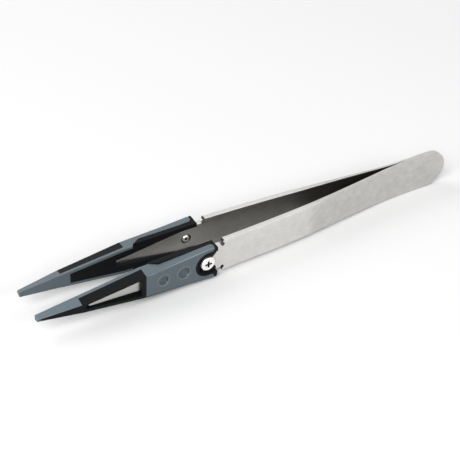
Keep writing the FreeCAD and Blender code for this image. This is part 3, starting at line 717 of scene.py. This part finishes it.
    def build(self) -> bpy.types.Object:
        """Bends the blank, sinks its hole, puts it in place and lets it flex between the weld and the tip.

        Returns:
            The finished blade.
        """
        piece = mesh_object(self.node + "_steel", self.blank())
        put_group(piece, self.bend_tree(), self.bend_sizes())
        hole = self.screw_hole()
        cut = piece.modifiers.new("hole", "BOOLEAN")
        cut.operation, cut.object, cut.solver, cut.material_mode = "DIFFERENCE", hole, "EXACT", "TRANSFER"
        bake(piece)
        bpy.data.objects.remove(hole)
        piece.data.transform(self.to_frame())
        if self.side is Side.RIGHT:
            piece.data.flip_normals()
        smooth(piece, self.shade_angle)
        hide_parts(self.node)
        start, end = (self.to_frame() @ Vector((x, 0.0, 0.0)) for x in (self.weld_length, self.flex_end))
        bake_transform(piece, "blades", self.side.tip_body, start=tuple(start), end=tuple(end))
        return piece


class Moulding(Enum):
    """The two plastics of a tip. The value names the slot that the finish goes to."""

    CORE = "core_plastic"
    GRIP = "grip_plastic"


@dataclass(frozen=True)
class Dimple:
    """One round dimple: the middle of its mouth, the direction of its floor and its radius, in metres."""

    middle: Vector
    facing: Vector
    radius: float


@dataclass
class Tip:
    """One tip: the black core with its seat for the tongue and the grey shell that is moulded round it.

    The sizes are in millimetres and the angles in degrees. The shares are parts of a face's height or of
    the room about an edge.
    """

    side: Side
    core_finish: bpy.types.Material
    grip_finish: bpy.types.Material
    merge_reach: float = 0.0005
    flat_angle: float = 0.6
    slice_length: float = 0.9
    slice_touch: float = 0.01
    ridge_share: float = 0.1
    ridge_growth: float = 0.35
    inner_share: float = 0.06
    edge_round: float = 0.1
    rim_round: float = 0.24
    widest_round: float = 1.2
    round_steps: int = 4
    room_share: float = 0.35
    room_places: tuple[float, ...] = (0.1, 0.5, 0.9)
    corner_angle: float = 22.0
    upright_to: float = 0.5
    touch: float = 0.004
    steel_reach: float = 0.2
    shade_angle: float = 35.0
    dimple_depth: float = 0.3
    dimple_deepening: float = 0.32
    dimple_span: tuple[float, float] = (2.4, 3.4)
    dimple_out_of_round: float = 0.1
    dimple_corners: int = 12
    dimple_clearance: float = 0.5
    lip_gap: float = 0.5
    lip_half_width: float = 0.17
    lip_height: float = 0.08
    lip_corners: int = 64
    lip_section_corners: int = 16

    def node(self, moulding: Moulding) -> str:
        """Names the CAD node that a moulding stands for."""
        return f"{self.side.word}_tip_{moulding.name.lower()}"

    def merged(self, node: str) -> bmesh.types.BMesh:
        """Copies a CAD node's mesh and merges its loose triangles into flat faces.

        Args:
            node: the name of the CAD node.

        Returns:
            The merged copy.
        """
        bm = bmesh.new()
        bm.from_mesh(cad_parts[node].data)
        bmesh.ops.remove_doubles(bm, verts=bm.verts[:], dist=self.merge_reach * MM)
        bmesh.ops.dissolve_limit(
            bm, angle_limit=math.radians(self.flat_angle), verts=bm.verts[:], edges=bm.edges[:])
        return bm

    def dimple_floors(self, bm: bmesh.types.BMesh) -> list[bmesh.types.BMFace]:
        """Finds the round floors of the dimples in the shell's outer face.

        Args:
            bm: the merged moulding.

        Returns:
            One flat face for each dimple, or none on the core.
        """
        floors = []
        for face in bm.faces:
            if face.normal.y * self.side.value < FACING or len(face.verts) < self.dimple_corners:
                continue
            rows = [v.co.x for v in face.verts], [v.co.z for v in face.verts]
            length, height = ((max(row) - min(row)) / MM for row in rows)
            round_floor = abs(length - height) < self.dimple_out_of_round
            if round_floor and self.dimple_span[0] < height < self.dimple_span[1]:
                floors.append(face)
        return floors

    def dimple(self, floor: bmesh.types.BMFace) -> Dimple:
        """Measures a dimple.

        Args:
            floor: its floor, before it is deepened.

        Returns:
            Where the dimple is and how wide.
        """
        middle = sum((v.co for v in floor.verts), Vector()) / len(floor.verts)
        mouth = middle + floor.normal * self.dimple_depth * MM
        return Dimple(mouth, floor.normal.copy(), (floor.verts[0].co - middle).length)

    @staticmethod
    def darken_wall(floor: bmesh.types.BMFace) -> set[bmesh.types.BMEdge]:
        """Gives the wall round a dimple's floor the second finish, the core's black, as painted shade.

        Args:
            floor: the dimple's floor.

        Returns:
            The edges round the dimple's mouth.
        """
        wall = {face for edge in floor.edges for face in edge.link_faces if face is not floor}
        for face in wall:
            face.material_index = 1
        return {edge for face in wall for edge in face.edges
                if any(abs(n.normal.y) > FACING and n is not floor for n in edge.link_faces)}

    def room(self, edge: bmesh.types.BMEdge) -> float:
        """Measures how far an edge is from the other edges of its two faces.

        Args:
            edge: the edge.

        Returns:
            The distance in metres, without the edges that start at its own ends.
        """
        start, end = (v.co for v in edge.verts)
        nearest = math.inf
        for face in edge.link_faces:
            for other in face.edges:
                if set(other.verts) & set(edge.verts):
                    continue
                first, second = (v.co for v in other.verts)
                for share in self.room_places:
                    point = start.lerp(end, share)
                    foot, along = intersect_point_line(point, first, second)
                    foot = foot if 0 <= along <= 1 else (first if along < 0 else second)
                    nearest = min(nearest, (point - foot).length)
        return nearest

    def rounding(self, edge: bmesh.types.BMEdge, middle_height: float | None,
                 rims: set[bmesh.types.BMEdge], stops: Sequence[float]) -> float:
        """Gives the rounding of an edge in millimetres: wide on the shell's ridges, small elsewhere.

        Args:
            edge: the edge to round.
            middle_height: the height of the shell's middle, in metres, or None where no edge is a wide ridge.
            rims: the edges round the dimples.
            stops: the places along the tip where a ridge runs into the core and has to be narrow.

        Returns:
            How far the rounding reaches from the edge.
        """
        if edge in rims:
            return self.rim_round
        room = self.room_share * self.room(edge) / MM
        small = min(self.edge_round, room)
        if middle_height is None:
            return small
        outwards = [f.normal.y * self.side.value for f in edge.link_faces if abs(f.normal.y) > FACING]
        upwards = [f.normal.z for f in edge.link_faces if abs(f.normal.y) < self.upright_to]
        height = sum(v.co.z - middle_height for v in edge.verts) / MM
        if len(outwards) != 1 or len(upwards) != 1 or upwards[0] * height <= 0:
            return small
        across = abs(height * upwards[0])
        if outwards[0] > 0:
            place = (edge.verts[0].co.x + edge.verts[1].co.x) / 2
            growth = min((self.ridge_growth * abs(place - stop) / MM for stop in stops),
                         default=self.widest_round)
            return max(small, min(growth, self.ridge_share * across))
        return max(small, min(self.inner_share * across, room))

    def ridge_stops(self, bm: bmesh.types.BMesh, core: BVHTree) -> list[float]:
        """Finds where the ridges of the shell run into the core.

        Args:
            bm: the merged shell.
            core: the core's faces.

        Returns:
            The places along X, in metres.
        """
        stops = []
        for vert in bm.verts:
            outside = any(face.normal.y * self.side.value > FACING for face in vert.link_faces)
            on_top = any(abs(face.normal.z) > FACING for face in vert.link_faces)
            if outside and on_top and core.find_nearest(vert.co)[3] < self.touch * MM:
                stops.append(vert.co.x)
        return stops

    def mark_edges(self, bm: bmesh.types.BMesh, others: Sequence[tuple[BVHTree, float]],
                   rims: set[bmesh.types.BMEdge], ridged: bool) -> None:
        """Marks how far each edge is rounded, but not the edges where the piece meets another one.

        Args:
            bm: the merged piece.
            others: each neighbour with the distance, in millimetres, inside which an edge stays sharp. The
                other plastic comes first.
            rims: the edges round the dimples.
            ridged: whether the piece has the wide rounded ridges.
        """
        layers = bm.edges.layers.float
        weight = layers.get("bevel_weight_edge") or layers.new("bevel_weight_edge")
        heights = [v.co.z for v in bm.verts]
        middle_height = (min(heights) + max(heights)) / 2 if ridged else None
        stops = self.ridge_stops(bm, others[0][0]) if ridged else []
        for edge in bm.edges:
            if not edge.is_manifold or edge.calc_face_angle() < math.radians(self.corner_angle):
                continue
            middle = (edge.verts[0].co + edge.verts[1].co) / 2
            if all(tree.find_nearest(middle)[3] >= reach * MM for tree, reach in others):
                edge[weight] = self.rounding(edge, middle_height, rims, stops) / self.widest_round

    def slice_up(self, bm: bmesh.types.BMesh, floors: Sequence[bmesh.types.BMFace]) -> None:
        """Divides a piece across its length, and the shell only up to its first dimple.

        So no face runs round the pocket, and the rounding can change along the ridges.

        Args:
            bm: the merged piece.
            floors: the floors of its dimples.
        """
        first_dimple = min((v.co.x for floor in floors for v in floor.verts), default=math.inf)
        end = first_dimple - self.dimple_clearance * MM
        lengths = [min(v.co.x, end) / (self.slice_length * MM) for v in bm.verts]
        for i in range(math.ceil(min(lengths)), math.ceil(max(lengths))):
            place = i * self.slice_length * MM
            geometry = bm.verts[:] + bm.edges[:] + bm.faces[:]
            bmesh.ops.bisect_plane(
                bm, geom=geometry, dist=self.slice_touch * MM, plane_co=(place, 0, 0), plane_no=(1, 0, 0))

    def round_off(self, piece: bpy.types.Object) -> None:
        """Rounds the marked edges of a piece and shades it.

        Args:
            piece: the piece to finish.
        """
        bevel = piece.modifiers.new("round", "BEVEL")
        bevel.limit_method = "WEIGHT"
        bevel.width = self.widest_round * MM
        bevel.segments = self.round_steps
        bevel.use_clamp_overlap = False
        bevel.material = 0
        bake(piece)
        # the normals that come with the CAD mesh don't fit the roundings
        normals = piece.data.attributes.get("custom_normal")
        if normals is not None:
            piece.data.attributes.remove(normals)
        smooth(piece, self.shade_angle)

    def lip_tree(self, sizes: Iterable[str]) -> bpy.types.NodeTree:
        """Makes the group that lays a low round lip about each dimple.

        Args:
            sizes: the names of its inputs: the lip's half width, its height and the turn of its ring.

        Returns:
            The group's tree, which works on one point for each dimple.
        """
        tree, group = new_group("dimple_lips", sizes)
        radius = add_node(tree, "GeometryNodeInputNamedAttribute", {"data_type": "FLOAT"}, {
            "Name": "lip_radius"})
        turn = add_node(tree, "ShaderNodeCombineXYZ", inputs={"X": math.pi / 2, "Z": group.outputs["Turn"]})
        ring = add_node(tree, "GeometryNodeCurvePrimitiveCircle", inputs={
            "Resolution": self.lip_corners, "Radius": 1.0})
        placed = add_node(tree, "GeometryNodeInstanceOnPoints", inputs={
            "Points": group.outputs["Geometry"], "Instance": ring.outputs["Curve"],
            "Rotation": turn.outputs["Vector"], "Scale": radius.outputs["Attribute"]})
        real = add_node(tree, "GeometryNodeRealizeInstances", inputs={
            "Geometry": placed.outputs["Instances"]})
        section = add_node(tree, "GeometryNodeCurvePrimitiveCircle", inputs={
            "Resolution": self.lip_section_corners, "Radius": 1.0})
        flat = add_node(tree, "ShaderNodeCombineXYZ", inputs={
            "X": group.outputs["Half width"], "Y": group.outputs["Height"], "Z": 1.0})
        squeezed = add_node(tree, "GeometryNodeTransform", inputs={
            "Geometry": section.outputs["Curve"], "Scale": flat.outputs["Vector"]})
        swept = add_node(tree, "GeometryNodeCurveToMesh", inputs={
            "Curve": real.outputs["Geometry"], "Profile Curve": squeezed.outputs["Geometry"]})
        dressed = add_node(tree, "GeometryNodeSetMaterial", inputs={
            "Geometry": swept.outputs["Mesh"], "Material": self.grip_finish})
        add_node(tree, "NodeGroupOutput", inputs={"Geometry": dressed.outputs["Geometry"]})
        return tree

    def lips(self, dimples: Sequence[Dimple]) -> bpy.types.Object:
        """Makes the low lips about the dimples.

        Args:
            dimples: the dimples of one face.

        Returns:
            One piece with a lip for each dimple.
        """
        bm = bmesh.new()
        radius = bm.verts.layers.float.new("lip_radius")
        for dimple in dimples:
            bm.verts.new(dimple.middle)[radius] = dimple.radius + self.lip_gap * MM
        piece = mesh_object(self.side.word + "_dimple_lips", bm)
        facing = dimples[0].facing * self.side.value
        sizes = {"Half width": self.lip_half_width * MM, "Height": self.lip_height * MM,
                 "Turn": math.atan2(-facing.x, facing.y)}
        put_group(piece, self.lip_tree(sizes), sizes)
        bake(piece)
        bm = bmesh.new()
        bm.from_mesh(piece.data)
        bmesh.ops.recalc_face_normals(bm, faces=bm.faces[:])
        bm.to_mesh(piece.data)
        bm.free()
        piece.data.shade_smooth()
        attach(piece, self.side.tip_body)
        return piece

    def mould(self, moulding: Moulding, bm: bmesh.types.BMesh,
              others: Sequence[tuple[BVHTree, float]]) -> list[bpy.types.Object]:
        """Rounds and dresses one plastic of the tip and lays the lips about its dimples.

        Args:
            moulding: which of the two plastics it is.
            bm: its merged mesh, which can't be used any more.
            others: each neighbour with the distance, in millimetres, inside which an edge stays sharp.

        Returns:
            The piece and, for the shell, its lips.
        """
        for face in bm.faces:
            face.material_index = 0
        floors = self.dimple_floors(bm)
        self.slice_up(bm, floors)
        dimples = [self.dimple(floor) for floor in floors]
        rims = {edge for floor in floors for edge in self.darken_wall(floor)}
        self.mark_edges(bm, others, rims, moulding is Moulding.GRIP)
        for floor in floors:
            bmesh.ops.translate(bm, verts=floor.verts[:], vec=-floor.normal * self.dimple_deepening * MM)
        piece = mesh_object(self.node(moulding) + "_moulded", bm)
        piece.data.materials.append(self.grip_finish if moulding is Moulding.GRIP else self.core_finish)
        # painted shade: the dimples' walls are painted dark with the core's finish, to keep them readable
        # under soft light
        if floors:
            piece.data.materials.append(self.core_finish)
        self.round_off(piece)
        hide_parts(self.node(moulding))
        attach(piece, self.side.tip_body)
        return [piece, self.lips(dimples)] if dimples else [piece]

    def build(self) -> list[bpy.types.Object]:
        """Makes the core and the shell out of their CAD nodes.

        Returns:
            The finished pieces of the tip.
        """
        merged = {moulding: self.merged(self.node(moulding)) for moulding in Moulding}
        trees = {moulding: BVHTree.FromBMesh(bm) for moulding, bm in merged.items()}
        steel = self.merged(self.side.word + "_blade")
        steel_tree = BVHTree.FromBMesh(steel)
        steel.free()
        pieces = []
        for moulding, bm in merged.items():
            others = [(tree, self.touch) for other, tree in trees.items() if other is not moulding]
            others.append((steel_tree, self.steel_reach))
            pieces += self.mould(moulding, bm, others)
        return pieces


@dataclass
class Screw:
    """One pan-head screw with a cross recess; its end shows at the tongue's inner face.

    Its own frame has Y along the axis, from the tongue's inner face outwards. The sizes are in millimetres
    and the angle in degrees.
    """

    blade: Blade
    plating: bpy.types.Material
    recess_finish: bpy.types.Material
    shank_radius: float = 1.0
    end_edge: float = 0.25
    hollow_radius: float = 0.5
    seat: float = 2.0
    head_radius: float = 2.05
    head_height: float = 0.8
    head_edge: float = 0.35
    head_edge_steps: int = 8
    seat_edge: float = 0.05
    ring_radius: float = 1.4
    ring_half_width: float = 0.12
    ring_depth: float = 0.05
    recess_arm: float = 2.05
    recess_width: float = 0.58
    recess_depth: float = 0.5
    corners: int = 64
    ball_segments: int = 32
    ball_rings: int = 16
    shade_angle: float = 28.0

    def profile(self) -> list[tuple[float, float]]:
        """Gives the half section, with the low ring turned into the head.

        Returns:
            The points as radius and height, from the end to the head's middle.
        """
        top = self.seat + self.head_height
        points = [(0.0, 0.0), (self.shank_radius - self.end_edge, 0.0),
                  (self.shank_radius, self.end_edge), (self.shank_radius, self.seat),
                  (self.head_radius - self.seat_edge, self.seat),
                  (self.head_radius, self.seat + self.seat_edge)]
        for i in range(self.head_edge_steps + 1):
            turn = math.radians(90 * i / self.head_edge_steps)
            points.append((self.head_radius - self.head_edge * (1 - math.cos(turn)),
                           top - self.head_edge * (1 - math.sin(turn))))
        points += [(self.ring_radius + self.ring_half_width, top), (self.ring_radius, top - self.ring_depth),
                   (self.ring_radius - self.ring_half_width, top), (0.0, top)]
        return points

    def turned(self) -> bmesh.types.BMesh:
        """Turns the half section round the axis.

        Returns:
            The plain screw, closed at both ends.
        """
        bm = bmesh.new()
        rings = []
        for radius, height in self.profile():
            count = 1 if radius == 0.0 else self.corners
            turns = [math.tau * i / count for i in range(count)]
            rings.append([bm.verts.new((radius * math.cos(t), height, radius * math.sin(t))) for t in turns])
        for lower, upper in zip(rings, rings[1:]):
            for i in range(self.corners):
                corners = [lower[i % len(lower)], lower[(i + 1) % len(lower)],
                           upper[(i + 1) % len(upper)], upper[i % len(upper)]]
                bm.faces.new(list(dict.fromkeys(corners)))
        bmesh.ops.recalc_face_normals(bm, faces=bm.faces[:])
        return bm

    def recess_sizes(self) -> dict[str, float]:
        """Gives the sizes of the cross in the head and of the hollow in the end."""
        return {"Arm": self.recess_arm, "Width": self.recess_width, "Depth": self.recess_depth,
                "Head top": self.seat + self.head_height, "Hollow radius": self.hollow_radius}

    def recess_tree(self) -> bpy.types.NodeTree:
        """Makes the group that punches the cross into the head and the round hollow into the end.

        Returns:
            The group's tree.
        """
        tree, group = new_group("cross_recess", self.recess_sizes())
        plated = add_node(tree, "GeometryNodeSetMaterial", inputs={
            "Geometry": group.outputs["Geometry"], "Material": self.plating})
        # half of the block stands above the head
        depth = add_node(tree, "ShaderNodeMath", {"operation": "MULTIPLY"}, {
            0: group.outputs["Depth"], 1: 2.0})
        place = add_node(tree, "ShaderNodeCombineXYZ", inputs={"Y": group.outputs["Head top"]})
        arms = add_node(tree, "GeometryNodeJoinGeometry")
        for across, along in (("Arm", "Width"), ("Width", "Arm")):
            size = add_node(tree, "ShaderNodeCombineXYZ", inputs={
                "X": group.outputs[across], "Y": depth.outputs[0], "Z": group.outputs[along]})
            block = add_node(tree, "GeometryNodeMeshCube", inputs={"Size": size.outputs["Vector"]})
            moved = add_node(tree, "GeometryNodeTransform", inputs={
                "Geometry": block.outputs["Mesh"], "Translation": place.outputs["Vector"]})
            tree.links.new(moved.outputs["Geometry"], arms.inputs["Geometry"])
        ball = add_node(tree, "GeometryNodeMeshUVSphere", inputs={
            "Segments": self.ball_segments, "Rings": self.ball_rings,
            "Radius": group.outputs["Hollow radius"]})
        tree.links.new(ball.outputs["Mesh"], arms.inputs["Geometry"])
        # painted shade: the faces of the cross and of the end's hollow get the dark steel
        dull = add_node(tree, "GeometryNodeSetMaterial", inputs={
            "Geometry": arms.outputs["Geometry"], "Material": self.recess_finish})
        cut = add_node(tree, "GeometryNodeMeshBoolean", {"operation": "DIFFERENCE", "solver": "EXACT"}, {
            "Mesh 1": plated.outputs["Geometry"], "Mesh 2": dull.outputs["Geometry"],
            "Self Intersection": True})
        real = add_node(tree, "GeometryNodeRealizeInstances", inputs={"Geometry": cut.outputs["Mesh"]})
        add_node(tree, "NodeGroupOutput", inputs={"Geometry": real.outputs["Geometry"]})
        return tree

    def build(self) -> bpy.types.Object:
        """Turns the screw, punches its cross and its hollow, and seats it in the blade's hole.

        Returns:
            The finished screw.
        """
        node = self.blade.side.word + "_screw"
        piece = mesh_object(node + "_turned", self.turned())
        put_group(piece, self.recess_tree(), self.recess_sizes())
        bake(piece)
        piece.data.transform(self.blade.to_frame() @ self.blade.screw_seat())
        if self.blade.side is Side.RIGHT:
            piece.data.flip_normals()
        smooth(piece, self.shade_angle)
        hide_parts(node)
        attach(piece, self.blade.side.tip_body)
        return piece


@dataclass(frozen=True)
class Softbox:
    """One flat soft lamp that points at the object."""

    name: str
    power: float
    place_mm: tuple[float, float, float]
    size_mm: tuple[float, float]

    def hang(self) -> None:
        """Hangs the lamp in the scene."""
        light = bpy.data.lights.new(self.name, "AREA")
        light.shape = "RECTANGLE"
        light.size, light.size_y = (size * MM for size in self.size_mm)
        light.energy = self.power
        lamp = bpy.data.objects.new(self.name, light)
        lamp.location = Vector(self.place_mm) * MM
        lamp.rotation_euler = (-lamp.location).to_track_quat("-Z", "Y").to_euler()
        bpy.context.scene.collection.objects.link(lamp)


@dataclass
class Studio:
    """The pale floor, the soft light and the camera at the photograph's angle."""

    camera_mm: tuple[float, float, float] = (-150.81, -227.44, 224.92)
    heading_deg: float = 32.38
    down_deg: float = 38.83
    roll_deg: float = 2.86
    lens_mm: float = 101.93
    sensor_mm: float = 36.0
    floor_half_mm: float = 3000.0
    floor_drop_mm: float = 0.02
    floor_colour: str = "9c9c9c"
    sky_strength: float = 0.25
    lamps: tuple[Softbox, ...] = (
        Softbox("front_softbox", 11.5, (-700.0, -530.0, 830.0), (900.0, 700.0)),
        Softbox("back_softbox", 5.0, (-540.0, 720.0, 790.0), (900.0, 900.0)),
        Softbox("ridge_strip_light", 2.6, (500.0, -900.0, 620.0), (900.0, 250.0)))

    @staticmethod
    def seen(tree: bpy.types.NodeTree) -> bpy.types.NodeSocket:
        """Tells what the camera sees, by itself or in a reflection, from what only lights the object.

        Args:
            tree: the node tree that asks.

        Returns:
            A socket with 1 for what is seen and 0 for what only gives light.
        """
        path = add_node(tree, "ShaderNodeLightPath")
        direct = add_node(tree, "ShaderNodeMath", {"operation": "MAXIMUM"}, {
            0: path.outputs["Is Camera Ray"], 1: path.outputs["Is Glossy Ray"]})
        either = add_node(tree, "ShaderNodeMath", {"operation": "MAXIMUM"}, {
            0: direct.outputs[0], 1: path.outputs["Is Transmission Ray"]})
        unscattered = add_node(tree, "ShaderNodeMath", {"operation": "LESS_THAN"}, {
            0: path.outputs["Diffuse Depth"], 1: 0.5})
        shown = add_node(tree, "ShaderNodeMath", {"operation": "MULTIPLY"}, {
            0: either.outputs[0], 1: unscattered.outputs[0]})
        return shown.outputs[0]

    def add_floor(self) -> None:
        """Lays the floor, which keeps shadows and shows white to the camera and in reflections."""
        bm = bmesh.new()
        half, height = self.floor_half_mm * MM, -self.floor_drop_mm * MM
        corners = ((-half, -half), (half, -half), (half, half), (-half, half))
        bm.faces.new([bm.verts.new((x, y, height)) for x, y in corners])
        floor = mesh_object("floor", bm)
        material, tree, output = new_material("pale_floor")
        colour = add_node(tree, "ShaderNodeMix", {"data_type": "RGBA"}, {
            SHARE: self.seen(tree), FIRST: linear(self.floor_colour), SECOND: linear(WHITE)})
        diffuse = add_node(tree, "ShaderNodeBsdfDiffuse", inputs={"Color": colour.outputs[MIXED]})
        tree.links.new(diffuse.outputs[0], output.inputs["Surface"])
        floor.data.materials.append(material)

    def add_lights(self) -> None:
        """Hangs the lamps and fills from a pale sky."""
        world = bpy.data.worlds.new("studio")
        bpy.context.scene.world = world
        world.use_nodes = True
        tree = world.node_tree
        tree.nodes.clear()
        level = add_node(tree, "ShaderNodeMapRange", inputs={
            "Value": self.seen(tree), "To Min": self.sky_strength, "To Max": 1.0})
        sky = add_node(tree, "ShaderNodeBackground", inputs={
            "Color": linear(WHITE), "Strength": level.outputs["Result"]})
        add_node(tree, "ShaderNodeOutputWorld", inputs={"Surface": sky.outputs[0]})
        for lamp in self.lamps:
            lamp.hang()

    def add_camera(self) -> None:
        """Sets the camera where the photograph was taken from."""
        yaw, down, roll = (math.radians(v) for v in (self.heading_deg, self.down_deg, self.roll_deg))
        ahead = Vector((math.sin(yaw) * math.cos(down), math.cos(yaw) * math.cos(down), -math.sin(down)))
        level = Vector((math.cos(yaw), -math.sin(yaw), 0.0))
        rise = level.cross(ahead)
        right = math.cos(roll) * level + math.sin(roll) * rise
        up = -math.sin(roll) * level + math.cos(roll) * rise
        data = bpy.data.cameras.new("camera")
        data.sensor_width = self.sensor_mm
        data.lens = self.lens_mm
        camera = bpy.data.objects.new("camera", data)
        turn = Matrix((right, up, -ahead)).transposed().to_4x4()
        camera.matrix_world = Matrix.Translation(Vector(self.camera_mm) * MM) @ turn
        bpy.context.scene.collection.objects.link(camera)
        bpy.context.scene.camera = camera


def main() -> None:
    """Builds the studio and both arms in order and reports each piece."""
    logging.basicConfig(level=logging.INFO, format="%(message)s")
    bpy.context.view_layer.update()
    bpy.context.scene.view_settings.view_transform = "Standard"
    studio = Studio()
    studio.add_camera()
    studio.add_floor()
    studio.add_lights()
    steel = SatinSteel().build()
    # painted shade: the faces between the arms are painted greyer, for the dark they mirror between the arms
    inner_steel = SatinSteel(
        name="pickled_inner_steel", colour="a9a7a4", streak_colour="9f9d9a", ground_colour="8b8985",
        ground_streak_colour="82807c", tongue_colour="c6c4c0", tongue_from_mm=-8.0, tongue_to_mm=-19.0,
        roughness=0.34).build()
    core = MouldedPlastic(
        name="carbon_filled_core", colour="101113", mottle="161819", rubbed_colour="1f2123", roughness=0.5,
        gloss=0.1).build()
    grip = MouldedPlastic(
        name="slate_grey_shell", colour="606c73", mottle="667279", rubbed_colour="8a969e", roughness=0.42,
        gloss=0.34).build()
    plating = PlainSteel(name="nickel_plated_screw", colour="fbfaf8", roughness=0.4).build()
    # painted shade: the screws' recesses are painted dark
    recess = PlainSteel(name="dull_screw_recess", colour="3c3b3a", roughness=0.6).build()
    # painted shade: the walls of the blade's relief and hole are painted dark
    cut_steel = PlainSteel(name="dull_cut_steel", colour="4c4b49", roughness=0.5).build()
    for side in Side:
        blade = Blade(side, steel, inner_steel, cut_steel)
        LOG.info("made %s", blade.build().name)
        for piece in Tip(side, core, grip).build():
            LOG.info("made %s", piece.name)
        LOG.info("made %s", Screw(blade, plating, recess).build().name)


if __name__ == "__main__":
    main()
